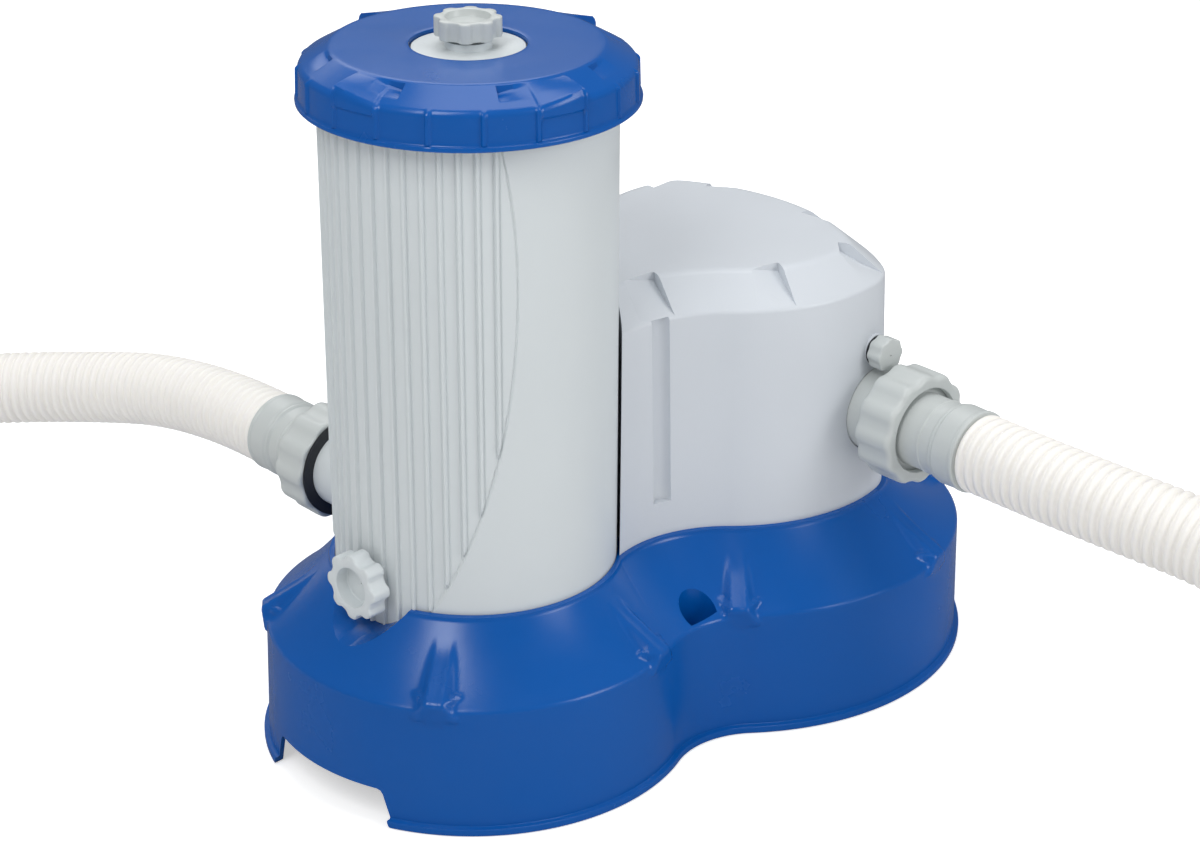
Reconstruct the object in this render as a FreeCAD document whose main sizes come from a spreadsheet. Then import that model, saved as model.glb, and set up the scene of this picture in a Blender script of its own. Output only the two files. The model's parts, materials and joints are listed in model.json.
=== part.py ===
import FreeCAD, Part
import math
import os
from types import SimpleNamespace

import Sketcher

# A pool pump with a cartridge filter: a figure-eight base carries an upright filter
# canister and, beside it, a covered vertical pump. Each has a hose on a union nut.
# Millimetres, +Z up. The origin is on the floor, midway between the two fixing holes
# in the base's waist. +X runs from the filter to the pump; the outlet faces -Y.

Vector = FreeCAD.Vector
UP = Vector(0, 0, 1)
DOWN = Vector(0, 0, -1)
BACK = Vector(0, 1, 0)
FRONT = Vector(0, -1, 0)

SIZES = [
    ("can_x", -86, "filter axis"),
    ("can_r", 82, "canister outside radius"),
    ("can_wall", 3, "canister wall"),
    ("can_floor_z", 100, "underside of the canister's floor"),
    ("can_top_z", 402, "canister rim"),
    ("can_rim_r", 88.5, "canister rim radius"),
    ("can_gap", 0.4, "gap round the canister in the base"),
    ("inlet_z", 124, "inlet height"),
    ("drain_z", 126.5, "drain valve height"),
    ("drain_angle", 184, "drain valve azimuth about the filter axis"),
    ("cover_x", 115, "centre of the motor cover's round side"),
    ("cover_r", 106, "motor cover radius at its foot"),
    ("cover_wall", 3.5, "motor cover wall"),
    ("cover_draft", 4, "how much the cover narrows up to its shoulder"),
    ("cover_chamfer", 22, "width of the cover's sloping shoulder"),
    ("cover_end_x", 37, "centre of the cover's flat end arc"),
    ("cover_end_r", 156, "radius of the cover's flat end arc"),
    ("corner_r", 41, "radius of the cover's end corners"),
    ("saddle_x", -6.5, "centre of the cover's hollow flanks"),
    ("saddle_y", 134.2, "centre of the cover's hollow flanks"),
    ("shoulder_z", 251, "top of the cover's wall"),
    ("plateau_z", 269, "cover's flat top"),
    ("deck_z", 116, "top of the base"),
    ("crease_z", 77, "top of the base's skirt"),
    ("base_wall", 3, "base wall"),
    ("lobe_r", 123.4, "skirt radius round the filter"),
    ("pump_lobe_x", 117, "centre of the skirt round the pump"),
    ("pump_lobe_r", 147.5, "skirt radius round the pump"),
    ("waist_r", 57, "hollow radius of the skirt's waist"),
    ("flare", 1.8, "how much the skirt widens to the floor"),
    ("lip", 3, "foot lip width"),
    ("lip_height", 4.5, "foot lip height"),
    ("collar", 3, "step of the deck round the housings"),
    ("fixing_y", 98, "fixing hole from the centre line"),
    ("fixing_r", 3, "fixing hole radius"),
    ("pocket_r", 11.5, "fixing pocket radius"),
    ("pocket_z", 66, "fixing pocket floor"),
    ("shaft_x", 112, "pump axis"),
    ("shaft_r", 4, "rotor shaft radius"),
    ("running", 0.05, "running clearance of the shaft"),
    ("outlet_x", 139, "outlet axis"),
    ("outlet_z", 172, "outlet height"),
    ("spigot_r", 24.5, "port outside radius"),
    ("port_bore", 15, "port bore radius"),
    ("thread_r", 30, "port thread radius"),
    ("thread_length", 13.5, "port thread length"),
    ("inlet_hose_y", 193, "start of the inlet hose"),
    ("outlet_hose_y", 186, "start of the outlet hose"),
    ("seal_face", 52.5, "port face from the hose's start"),
    ("nut_r", 34.5, "union nut radius"),
    ("nut_length", 26, "union nut length"),
    ("nut_lip_r", 26, "union nut's hole round the tail"),
    ("tail_r", 22.5, "hose tail radius"),
    ("cuff_r", 24.7, "hose cuff radius"),
    ("cuff_length", 17, "hose cuff length"),
    ("tail_length", 24, "hose tail between cuff and nut"),
    ("hose_r", 23.75, "hose outside radius"),
    ("hose_bore", 19, "hose bore radius"),
    ("ring_r", 93, "lock ring skirt radius"),
    ("ring_z", 391, "lock ring lower edge"),
    ("ring_top_z", 421.5, "lock ring top"),
    ("ring_hole_r", 32, "lock ring hole"),
    ("knob_r", 18.5, "air valve knob radius"),
    ("drain_knob_r", 20, "drain knob radius"),
    ("cartridge_r", 70, "filter cartridge radius"),
    ("cartridge_z", 104.5, "bottom of the cartridge"),
    ("cartridge_length", 254, "cartridge length"),
    ("vent_x", 139.5, "vent plug axis"),
    ("vent_z", 210, "vent plug height"),
    ("vent_r", 10.5, "vent plug radius"),
    ("vent_face", 102.5, "vent seat, from the pump axis plane"),
    ("cord_r", 4.1, "cable gland bore radius"),
    ("gland_z", 146, "cable gland height"),
]

# Hose routes: corner points of the centre line, from the union to the far end.
INLET_ROUTE = [
    (-86, 193, 124), (-86, 277, 124), (-121, 386, 102), (-206, 470, 94), (-318, 500, 72),
    (-432, 468, 46), (-512, 388, 28), (-558, 278, 24), (-574, 158, 24), (-573, 36, 24),
    (-560, -86, 24), (-534, -202, 26), (-490, -312, 35),
]
OUTLET_ROUTE = [
    (139, -186, 172), (139, -266, 172), (160, -362, 163), (162, -472, 138), (114, -574, 104),
    (22, -628, 68), (-92, -640, 40), (-204, -606, 26), (-292, -534, 24), (-350, -434, 24),
    (-386, -318, 24), (-408, -214, 26), (-422, -124, 35),
]


class Size(float):
    """A length that also knows the spreadsheet expression it comes from."""

    def __new__(cls, value, text):
        size = super().__new__(cls, value)
        size.text = text
        return size

    def __add__(self, other):
        return Size(float(self) + float(other), f"({text_of(self)} + {text_of(other)})")

    def __sub__(self, other):
        return Size(float(self) - float(other), f"({text_of(self)} - {text_of(other)})")

    def __mul__(self, other):
        return Size(float(self) * float(other), f"({text_of(self)} * {text_of(other)})")

    def __neg__(self):
        return Size(-float(self), f"(-1 * {text_of(self)})")


def text_of(value):
    return value.text if isinstance(value, Size) else f"{value:g}"


doc = FreeCAD.newDocument("PoolPump")
sheet = doc.addObject("Spreadsheet::Sheet", "Sizes")
for row, (alias, value, note) in enumerate(SIZES, start=1):
    sheet.set(f"A{row}", alias)
    sheet.set(f"B{row}", f"{value:g}")
    sheet.set(f"C{row}", note)
    sheet.setAlias(f"B{row}", alias)
doc.recompute()
d = SimpleNamespace(**{a: Size(v, f"Sizes.{a}") for a, v, _ in SIZES})
nodes = []


def node(obj, label):
    """Marks a finished sub-part and names it."""
    obj.Label = label
    nodes.append(obj)
    return obj


def bind(obj, **properties):
    for name, value in properties.items():
        obj.setExpression(name, text_of(value))


def place(obj, at, along=UP):
    obj.Placement = FreeCAD.Placement(Vector(*at), FreeCAD.Rotation(UP, along))
    for axis, value in zip("xyz", at):
        if isinstance(value, Size):
            obj.setExpression(f"Placement.Base.{axis}", value.text)
    return obj


def cylinder(radius, height, at=(0, 0, 0), along=UP):
    obj = doc.addObject("Part::Cylinder", "Cylinder")
    bind(obj, Radius=radius, Height=height)
    return place(obj, at, along)


def block(length, width, height, at):
    obj = doc.addObject("Part::Box", "Box")
    bind(obj, Length=length, Width=width, Height=height)
    return place(obj, at)


def fuse(*parts):
    obj = doc.addObject("Part::MultiFuse", "Fuse")
    obj.Shapes = list(parts)
    return obj


def cut(base, *tools):
    obj = doc.addObject("Part::Cut", "Cut")
    obj.Base = base
    obj.Tool = tools[0] if len(tools) == 1 else fuse(*tools)
    return obj


def feature(shape):
    obj = doc.addObject("Part::Feature", "Feature")
    obj.Shape = shape
    return obj


def turned(profile, at=(0, 0, 0), along=UP):
    """A turned piece: a closed profile of (radius, height) points, spun round its own axis."""
    body = doc.addObject("PartDesign::Body", "Turned")
    planes = {f.Role: f for f in body.Origin.OriginFeatures}
    sketch = body.newObject("Sketcher::SketchObject", "Profile")
    sketch.AttachmentSupport = (planes["XZ_Plane"], [""])
    sketch.MapMode = "FlatFace"
    corners = [Vector(float(r), float(z), 0) for r, z in profile]
    for start, end in zip(corners, corners[1:] + corners[:1]):
        sketch.addGeometry(Part.LineSegment(start, end), False)
    count = len(profile)
    for i in range(count):
        sketch.addConstraint(Sketcher.Constraint("Coincident", i, 2, (i + 1) % count, 1))
    for i, (r, z) in enumerate(profile):
        for kind, value, axis in (("DistanceX", r, -2), ("DistanceY", z, -1)):
            if float(value) == 0:
                sketch.addConstraint(Sketcher.Constraint("PointOnObject", i, 1, axis))
                continue
            rule = Sketcher.Constraint(kind, -1, 1, i, 1, float(value))
            number = sketch.addConstraint(rule)
            if isinstance(value, Size):
                sketch.setExpression(f"Constraints[{number}]", value.text)
    spin = body.newObject("PartDesign::Revolution", "Spin")
    spin.Profile = sketch
    spin.ReferenceAxis = (sketch, ["V_Axis"])
    spin.Angle = 360
    return place(body, at, along)


def tube(outer, inner, height, at=(0, 0, 0), along=UP):
    return turned([(inner, 0), (outer, 0), (outer, height), (inner, height)], at, along)


def polar(radius, degrees, z=0.0, x=0.0, y=0.0):
    angle = math.radians(degrees)
    return Vector(x + radius * math.cos(angle), y + radius * math.sin(angle), z)


def arc_edge(centre, radius, start, end, z):
    """An arc about (x, y), from one angle to another in degrees."""
    points = [polar(radius, a, z, *centre) for a in (start, (start + end) / 2, end)]
    return Part.Arc(*points).toShape()


def angle_to(centre, point):
    return math.degrees(math.atan2(point[1] - centre[1], point[0] - centre[0]))


def meeting(one, one_r, two, two_r):
    """The point below the X axis at given distances from two points on that axis."""
    apart = two[0] - one[0]
    along = (one_r**2 - two_r**2 + apart**2) / (2 * apart)
    return one[0] + along, -math.sqrt(one_r**2 - along**2)


def mirrored(arcs):
    """Arcs (centre, radius, start, end) below the X axis, and the same above it, in order."""
    upper = [((x, -y), r, -end, -start) for (x, y), r, start, end in reversed(arcs)]
    return arcs, upper


def cover_arcs(offset):
    """The motor cover's outline, anticlockwise from its lower flank: flank, side, corner, end."""
    side = (float(d.cover_x), 0.0)
    flank = (float(d.saddle_x), -float(d.saddle_y))
    end = (float(d.cover_end_x), 0.0)
    corner = meeting(side, float(d.cover_r - d.corner_r), end, float(d.cover_end_r - d.corner_r))
    saddle_r = math.dist(flank, side) - float(d.cover_r)
    meet = angle_to(flank, side)
    side_start = angle_to(side, flank)
    corner_start = angle_to(side, corner)
    corner_end = angle_to(end, corner)
    flank_start = 180 - meet
    lower = [
        (flank, saddle_r - offset, flank_start, meet),
        (side, d.cover_r + offset, side_start, corner_start),
        (corner, d.corner_r + offset, corner_start, corner_end),
    ]
    nose = (end, d.cover_end_r + offset, corner_end, -corner_end)
    return lower, nose


def flank_start_angle(offset, keep_x=-36.0):
    """Where the flank arc begins, so that it always starts inside the canister's gap."""
    centre, reach, _, _ = cover_arcs(offset)[0][0]
    return 180 - math.degrees(math.acos((centre[0] - keep_x) / reach))


def cover_wire(offset, z):
    lower, nose = cover_arcs(offset)
    centre, radius, _, meet = lower[0]
    lower[0] = (centre, radius, flank_start_angle(offset), meet)
    upper = mirrored(lower)[1]
    edges = [arc_edge(c, float(r), a, b, z) for c, r, a, b in lower + [nose] + upper]
    first, last = edges[0].valueAt(edges[0].FirstParameter), edges[-1].valueAt(edges[-1].LastParameter)
    edges.append(Part.LineSegment(last, first).toShape())
    return Part.Wire(edges)


def collar_wire(offset, z):
    """The deck's inner edge: round the canister and the motor cover."""
    lower, nose = cover_arcs(offset)
    can = (float(d.can_x), 0.0)
    ring = float(d.can_r) + float(d.can_gap) + offset
    flank, reach, _, meet = lower[0]
    apart = math.hypot(flank[0] - can[0], flank[1])
    turn = math.degrees(math.acos((apart**2 + reach**2 - ring**2) / (2 * apart * reach)))
    start = angle_to(flank, can) - turn
    corner = polar(float(reach), start, 0, *flank)
    lower[0] = (flank, reach, start, meet)
    upper = mirrored(lower)[1]
    bend = angle_to(can, (corner.x, -corner.y))
    arcs = lower + [nose] + upper + [(can, ring, bend, 360 - bend)]
    return Part.Wire([arc_edge(c, float(r), a, b, z) for c, r, a, b in arcs])


def skirt_wire(offset, z):
    """The base's outline: a lobe round the filter, one round the pump, and a hollow waist."""
    can, pump = (float(d.can_x), 0.0), (float(d.pump_lobe_x), 0.0)
    one, two, hollow = float(d.lobe_r), float(d.pump_lobe_r), float(d.waist_r)
    waist = meeting(can, one + hollow, pump, two + hollow)
    start, end = angle_to(waist, can), angle_to(waist, pump)
    near, far = angle_to(pump, waist), angle_to(can, waist)
    splits = [near, -74, -36, 36, 74, -near]
    arcs = [(waist, hollow - offset, start, end)]
    arcs += [(pump, two + offset, a, b) for a, b in zip(splits, splits[1:])]
    arcs += [((waist[0], -waist[1]), hollow - offset, -end, -start)]
    arcs += [(can, one + offset, -far, 360 + far)]
    return Part.Wire([arc_edge(c, r, a, b, z) for c, r, a, b in arcs])


def loft(*wires):
    return Part.makeLoft(list(wires), True, True)


def rod(radius, start, end, end_radius=None):
    """A straight round bar, or a cone, from one point to another."""
    way = end - start
    if end_radius is None:
        return Part.makeCylinder(float(radius), way.Length, start, way)
    return Part.makeCone(float(radius), float(end_radius), way.Length, start, way)


def lobed_wire(crest, valley, count, z=0.0, width=0.5):
    """A grip outline of count lobes: arcs over the crests and hollow arcs between them."""
    step = 360 / count
    edges = []
    for i in range(count):
        a = i * step
        half = step * width / 2
        low = (crest + valley) / 2
        points = [polar(low, a - half, z), polar(crest, a, z), polar(low, a + half, z)]
        edges.append(Part.Arc(*points).toShape())
        points = [points[2], polar(valley, a + step / 2, z), polar(low, a + step - half, z)]
        edges.append(Part.Arc(*points).toShape())
    return Part.Wire(edges)


def lobed_bar(crest, valley, count, length, width=0.5):
    face = Part.Face(lobed_wire(float(crest), float(valley), count, 0.0, width))
    return face.extrude(Vector(0, 0, float(length)))


def set_at(shape, at, along=UP):
    """A copy of a shape built on the Z axis, moved to a point and turned along a direction."""
    moved = shape.copy()
    moved.Placement = FreeCAD.Placement(Vector(*at), FreeCAD.Rotation(UP, along))
    return moved


# ---- base ------------------------------------------------------------------------------
drain_way = polar(1, float(d.drain_angle))
CANISTER_SCREWS = (30, 150, 270)
BRACKET_SCREWS = (45, 135, 225, 315)
GUSSETS = [(d.can_x, d.lobe_r, a) for a in (-72, -141, 141, 72)]
GUSSETS += [(d.pump_lobe_x, d.pump_lobe_r, a) for a in (-131, -73, -24, 24, 73, 131)]
GUSSET_TOP, GUSSET_FOOT = 107, 75


def gusset(x, radius, degrees):
    """A tapered rib that grows out of the sloping deck and ends just below the crease."""
    top = polar(float(radius) - 30, degrees, GUSSET_TOP, float(x))
    foot = polar(float(radius) - 3, degrees, GUSSET_FOOT, float(x))
    return rod(1.0, top, foot, 10.0).fuse(Part.makeSphere(10.0, foot))


def base_shell():
    wall, deck, crease = float(d.base_wall), float(d.deck_z), float(d.crease_z)
    flare, collar = float(d.flare), float(d.collar)
    skirt = loft(skirt_wire(flare, 0), skirt_wire(0, crease))
    slope = loft(skirt_wire(0, crease), collar_wire(collar, deck))
    outer = skirt.fuse([slope] + [gusset(*g) for g in GUSSETS])
    skirt_in = loft(skirt_wire(flare - wall, 0), skirt_wire(-wall, crease - wall / 2))
    slope_in = loft(skirt_wire(-wall, crease - wall / 2), collar_wire(0.2, deck - wall))
    inner = skirt_in.fuse(slope_in)
    lip = Part.Face(skirt_wire(flare + float(d.lip), 0)).extrude(UP * float(d.lip_height))
    lip = lip.cut(Part.Face(skirt_wire(flare - wall, 0)).extrude(UP * float(d.lip_height)))
    shell = outer.cut(inner).fuse(lip)

    can = Vector(float(d.can_x), 0, 0)
    hole_r = float(d.can_r) + float(d.can_gap)
    seat_z = float(d.can_floor_z) - 4
    well = rod(hole_r + wall, can + UP * seat_z, can + UP * (deck - 1))
    drain_line = can + UP * float(d.drain_z)
    scoop = rod(33, drain_line + drain_way * 60, drain_line + drain_way * 140)
    scoop_wall = rod(36, drain_line + drain_way * 80, drain_line + drain_way * 128).common(outer)
    inlet_line = can + UP * float(d.inlet_z)
    saddle_end = inlet_line + BACK * 130
    saddle = rod(d.spigot_r + 1.5, inlet_line + BACK * 70, saddle_end)
    saddle_wall = rod(d.spigot_r + 4.5, inlet_line + BACK * 82, saddle_end).common(outer)
    posts, pockets = [], []
    for side in (-1, 1):
        spot = Vector(0, side * float(d.fixing_y), 0)
        post = rod(8, spot, spot + UP * float(d.pocket_z))
        jacket = rod(d.pocket_r + wall, spot + UP * (d.pocket_z - wall), spot + UP * deck)
        posts += [post, jacket.common(outer)]
        pockets.append(rod(d.pocket_r, spot + UP * float(d.pocket_z), spot + UP * deck))
        pockets.append(rod(d.fixing_r, spot, spot + UP * deck))
    shell = shell.fuse([well, scoop_wall, saddle_wall] + posts)
    ledge_hole = rod(66, can + UP * (seat_z - 5), can + UP * (seat_z + 10))
    well_hole = rod(hole_r, can + UP * float(d.can_floor_z), can + UP * (deck + 10))
    suction = Vector(float(d.shaft_x), 0, deck - 20)
    suction_hole = rod(20, suction, suction + UP * 40)
    screw_holes = []
    for x, y in cover_screw_spots():
        screw_holes.append(rod(2.2, Vector(x, y, deck - 10), Vector(x, y, deck + 5)))
    for a in CANISTER_SCREWS:
        spot = polar(75.2, a, seat_z - 5, float(d.can_x))
        screw_holes.append(rod(1.8, spot, spot + UP * 10))
    for a in BRACKET_SCREWS:
        spot = polar(54, a, deck - 5, float(d.shaft_x))
        screw_holes.append(rod(2.0, spot, spot + UP * 10))
    notch = notch_block().translated(can)
    return shell.cut([scoop, saddle, ledge_hole, well_hole, suction_hole, notch] + pockets + screw_holes)


def notch_block(low=49.0, high=43.0, height=22.0):
    """The trapezoid opening in the skirt's foot, on the drain side."""
    corners = [(-low - 2, -1), (low + 2, -1), (low, 3), (high, height - 2), (high - 3, height)]
    corners += [(-high + 3, height), (-high, height - 2), (-low, 3)]
    wire = Part.makePolygon([Vector(0, y, z) for y, z in corners + corners[:1]])
    prism = Part.Face(wire).extrude(Vector(70, 0, 0))
    prism.translate(Vector(90, 0, 0))
    prism.rotate(Vector(0, 0, 0), UP, float(d.drain_angle))
    return prism


def cover_screw_spots():
    """Five screws up through the deck into the motor cover, 7 mm inside its foot."""
    inset = d.cover_r - 7
    spots = [polar(float(inset), a, 0, float(d.cover_x)) for a in (-118, -62, 62, 118)]
    return [(p.x, p.y) for p in spots] + [(float(d.cover_end_x + d.cover_end_r) - 7, 0.0)]


node(feature(base_shell()), "base_shell")

# ---- filter canister -------------------------------------------------------------------
can_height = d.can_top_z - d.can_floor_z
can_profile = [
    (15.5, 0), (d.can_r, 0), (d.can_r, can_height - 8), (d.can_rim_r, can_height - 6),
    (d.can_rim_r, can_height), (d.can_r - d.can_wall, can_height), (d.can_r - d.can_wall, 4), (15.5, 4),
]
can_tube = turned(can_profile, (d.can_x, 0, d.can_floor_z))
inlet_face = d.inlet_hose_y - d.seal_face
inlet_root = d.can_r - 2.5
thread_y = inlet_face - d.thread_length
inlet_spigot = cylinder(d.spigot_r, inlet_face - inlet_root, (d.can_x, inlet_root, d.inlet_z), BACK)
inlet_thread = cylinder(d.thread_r, d.thread_length, (d.can_x, thread_y, d.inlet_z), BACK)
inlet_bore = cylinder(d.port_bore, 90, (d.can_x, d.can_r - 20, d.inlet_z), BACK)
inside = cylinder(d.can_r - d.can_wall, 100, (d.can_x, 0, d.can_floor_z + 4))
rib_height = d.can_top_z - d.can_floor_z - 12
flutes = []
for i in range(-7, 8):
    spot = polar(float(d.can_r), float(d.drain_angle) + 7 * i, 0, float(d.can_x))
    start = 40 if abs(i) < 2 else 17
    flutes.append(cylinder(1.5, rib_height - start + 1, (spot.x, spot.y, d.can_floor_z + start)))
can_bosses, can_holes = [], []
for a in CANISTER_SCREWS:
    spot = polar(75.2, a, 0, float(d.can_x))
    can_bosses.append(cylinder(4.4, 10, (spot.x, spot.y, d.can_floor_z + 3)))
    can_holes.append(cylinder(1.6, 10, (spot.x, spot.y, d.can_floor_z)))
drain_root = polar(float(d.can_r) - 2, float(d.drain_angle), 0, float(d.can_x))
drain_boss = cylinder(10.5, 3.2, (drain_root.x, drain_root.y, d.drain_z), drain_way)
drain_inside = polar(float(d.can_r) - 14, float(d.drain_angle), 0, float(d.can_x))
drain_bore = cylinder(6.3, 40, (drain_inside.x, drain_inside.y, d.drain_z), drain_way)
canister = fuse(cut(fuse(can_tube, inlet_spigot, inlet_thread, drain_boss, *flutes), inside), *can_bosses)
node(cut(canister, inlet_bore, drain_bore, *can_holes), "filter_canister")

canister_screws = []
for a in CANISTER_SCREWS:
    spot = polar(75.2, a, 0, float(d.can_x))
    shank = cylinder(1.6, 12.5, (spot.x, spot.y, d.can_floor_z - 4))
    head = cylinder(3.2, 2.2, (spot.x, spot.y, d.can_floor_z - 6.2))
    canister_screws.append(fuse(shank, head))
doc.recompute()
node(feature(Part.makeCompound([o.Shape for o in canister_screws])), "canister_screws")

# ---- lid: cover disc, seal, air valve and lock ring --------------------------------------
cover_z = d.can_top_z
node(tube(d.can_rim_r - 0.5, d.can_r - 1.5, 2, (d.can_x, 0, cover_z)), "cover_seal")
lid_profile = [
    (5.3, 12), (5.3, 21.5), (13, 21.5), (13, 17.5), (31, 17.5), (31, 14.5), (62, 14),
    (80, 8), (d.can_rim_r, 6), (d.can_rim_r, 2), (76, 2), (76, 4), (60, 10), (30, 11.5), (20, 12),
]
node(turned(lid_profile, (d.can_x, 0, cover_z)), "top_cover")
node(tube(11, 5.5, 1.6, (d.can_x, 0, cover_z + 21.6)), "air_valve_o_ring")


def knob(crest, valley, length, socket_r, socket_depth, stem_r, stem_length):
    """A lobed hand knob with a blind socket in its face and a stem behind it."""
    grip = lobed_bar(crest, valley, 8, length)
    socket = rod(socket_r, UP * (length - socket_depth), UP * (length + 1))
    stem = rod(stem_r, DOWN * stem_length, UP * 1)
    return grip.cut(socket).fuse(stem)


air_knob = knob(float(d.knob_r), float(d.knob_r) - 3, 11.0, 12.3, 3.0, 5.2, 14.0)
node(feature(set_at(air_knob, (d.can_x, 0, float(cover_z) + 23.3))), "air_valve_knob")


def lock_ring():
    """The screw ring: ribbed skirt, cone with four grip lugs, flat top with a round hole."""
    low, top = float(d.ring_z), float(d.ring_top_z)
    axis = Vector(float(d.can_x), 0, 0)
    skirt, hole = float(d.ring_r), float(d.ring_hole_r)
    section = [
        (skirt + 1.5, low), (skirt + 1.5, low + 2.5), (skirt, low + 4), (skirt - 1, low + 20),
        (75, top), (hole, top), (hole, top - 3), (73, top - 3), (89.2, low + 17.5), (89.2, low),
    ]
    wire = Part.makePolygon([axis + Vector(r, 0, z) for r, z in section + section[:1]])
    ring = Part.Face(wire).revolve(axis, UP, 360)
    extras = []
    for i in range(20):
        rib = Part.makeBox(2.2, 2.2, 15, Vector(skirt - 2, -1.1, low + 3))
        rib.rotate(Vector(0, 0, 0), UP, 18 * i + 1)
        extras.append(rib)
    for a in LUGS:
        outline = [(77, top - 3.5), (90.5, low + 19), (90.5, low + 10), (skirt + 1.4, low + 10)]
        outline += [(skirt + 1.4, top - 4), (skirt - 4, top - 1), (77, top - 1)]
        wire = Part.makePolygon([Vector(r, 0, z) for r, z in outline + outline[:1]])
        lug = Part.Face(wire).revolve(Vector(0, 0, 0), UP, 17)
        lug.rotate(Vector(0, 0, 0), UP, a - 8.5)
        extras.append(lug)
    for piece in extras:
        piece.translate(axis)
    notches = []
    for i in range(8):
        notch = Part.makeBox(14, 5, 6, Vector(70, 0, top - 1.6))
        notch.rotate(Vector(0, 0, 0), UP, 45 * i + 20)
        notch.translate(axis)
        notches.append(notch)
    return ring.fuse(extras).cut(notches)


LUGS = (-98, 10, 82, 190)
node(feature(lock_ring()), "lock_ring")

# ---- filter cartridge ------------------------------------------------------------------
cartridge_at = (d.can_x, 0, d.cartridge_z)
cap = d.cartridge_length - 7
node(tube(d.cartridge_r, 20, 7, cartridge_at), "cartridge_bottom_cap")
node(tube(d.cartridge_r, 20, 7, (d.can_x, 0, d.cartridge_z + cap)), "cartridge_top_cap")
node(tube(20, 17.5, d.cartridge_length, cartridge_at), "cartridge_core")


def pleats(count=36, valley=40.0):
    """The folded filter cloth between the two end caps, as one closed star-shaped band."""
    crest = float(d.cartridge_r) - 2.5
    points = []
    for i in range(count):
        points.append(polar(crest, 360 / count * i))
        points.append(polar(valley, 360 / count * (i + 0.5)))
    star = Part.Face(Part.makePolygon(points + points[:1]))
    band = star.extrude(UP * (float(d.cartridge_length) - 14)).cut(rod(22, DOWN, UP * 400))
    return set_at(band, (d.can_x, 0, d.cartridge_z + 7))


node(feature(pleats()), "cartridge_pleats")

# ---- drain valve -----------------------------------------------------------------------
drain_face = float(d.can_r) + 1.2
drain_foot = polar(drain_face, float(d.drain_angle), float(d.drain_z), float(d.can_x))
drain_ring = turned([(6.3, 0), (10, 0), (10, 1.8), (6.3, 1.8)])
place(drain_ring, tuple(drain_foot), drain_way)
node(drain_ring, "drain_valve_o_ring")
drain_grip = knob(float(d.drain_knob_r), float(d.drain_knob_r) - 3.2, 12.2, 11.5, 8.0, 6.2, 9.0)
node(feature(set_at(drain_grip, drain_foot + drain_way * 2.2, drain_way)), "drain_valve_knob")

# ---- motor cover -----------------------------------------------------------------------


def cover_solid(inset):
    """The cover's body, shrunk by inset: drafted wall, then a sloping shoulder."""
    draft, chamfer = float(d.cover_draft), float(d.cover_chamfer)
    foot, shoulder = float(d.deck_z), float(d.shoulder_z)
    top = float(d.plateau_z) - inset
    wall = loft(cover_wire(-inset, foot), cover_wire(-inset - draft, shoulder))
    cap = loft(cover_wire(-inset - draft, shoulder), cover_wire(-inset - chamfer - draft, top))
    gap = rod(float(d.can_r) + 2 + inset, Vector(float(d.can_x), 0, 100), Vector(float(d.can_x), 0, 300))
    return wall.fuse(cap).cut(gap)


COVER_NOTCHES = (-152, -107, -61, -15.5, 43, 78)


def shoulder_reach(degrees, centre=103.0):
    """Distance from the notch centre to the shoulder's outline."""
    z = float(d.shoulder_z)
    ray = Part.makeLine(Vector(centre, 0, z), polar(200, degrees, z, centre))
    hit = ray.distToShape(cover_wire(-float(d.cover_draft), z))[1][0][0]
    return hit.distanceToPoint(Vector(centre, 0, z))


def cover_notch(degrees, centre=103.0, depth=1.9, ramp=20.0):
    """A wedge across the shoulder that ramps down to a sharp wall at the given angle."""
    reach, drop = shoulder_reach(degrees), float(d.plateau_z - d.shoulder_z)
    slope = Vector(float(d.cover_chamfer), 0, -drop).normalize()
    out = Vector(-slope.z, 0, slope.x)
    start = Vector(reach - float(d.cover_chamfer), 0, float(d.plateau_z)) - slope * 1.5
    side = Vector(0, 1, 0)
    corners = [out * 6, out * -depth, side * -ramp, side * -ramp + out * 6]
    wire = Part.makePolygon([start + c for c in corners + corners[:1]])
    wedge = Part.Face(wire).extrude(slope * (math.hypot(float(d.cover_chamfer), drop) + 1.5))
    wedge.rotate(Vector(0, 0, 0), UP, degrees)
    wedge.translate(Vector(centre, 0, 0))
    return wedge


def motor_cover():
    shell = cover_solid(0).cut(cover_solid(float(d.cover_wall)))
    shell = shell.cut([cover_notch(a) for a in COVER_NOTCHES])
    foot, wall = float(d.deck_z), float(d.cover_wall)
    extras, holes = [], []
    for x, y in cover_screw_spots():
        spot = Vector(x, y, foot)
        extras.append(rod(4.5, spot, spot + UP * 40).common(cover_solid(0)))
        holes.append(rod(1.7, spot, spot + UP * 32))
    outlet = Vector(float(d.outlet_x), 0, float(d.outlet_z))
    holes.append(rod(d.spigot_r + 0.5, outlet + FRONT * 60, outlet + FRONT * 130))
    vent = Vector(float(d.vent_x), 0, float(d.vent_z))
    extras.append(rod(9.5, vent + FRONT * 90, vent + FRONT * float(d.vent_face)))
    holes.append(rod(5.3, vent + FRONT * 80, vent + FRONT * 130))
    gland = Vector(float(d.shaft_x), 0, float(d.gland_z))
    holes.append(rod(8, gland + BACK * 80, gland + BACK * 130))
    for side in (-1, 1):
        groove = Vector(6, side * 61.5, 137)
        extras.append(rod(9.5, groove, groove + UP * 112).common(cover_solid(0)))
        holes.append(rod(6.5, groove, groove + UP * 112))
    return shell.fuse(extras).cut(holes)


node(feature(motor_cover()), "motor_cover")
cover_screws = []
for x, y in cover_screw_spots():
    foot = Vector(x, y, float(d.deck_z))
    screw = rod(1.7, foot + DOWN * 5, foot + UP * 20).fuse(rod(3.6, foot + DOWN * 5.6, foot + DOWN * 3))
    cover_screws.append(screw)
node(feature(Part.makeCompound(cover_screws)), "cover_screws")

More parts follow.
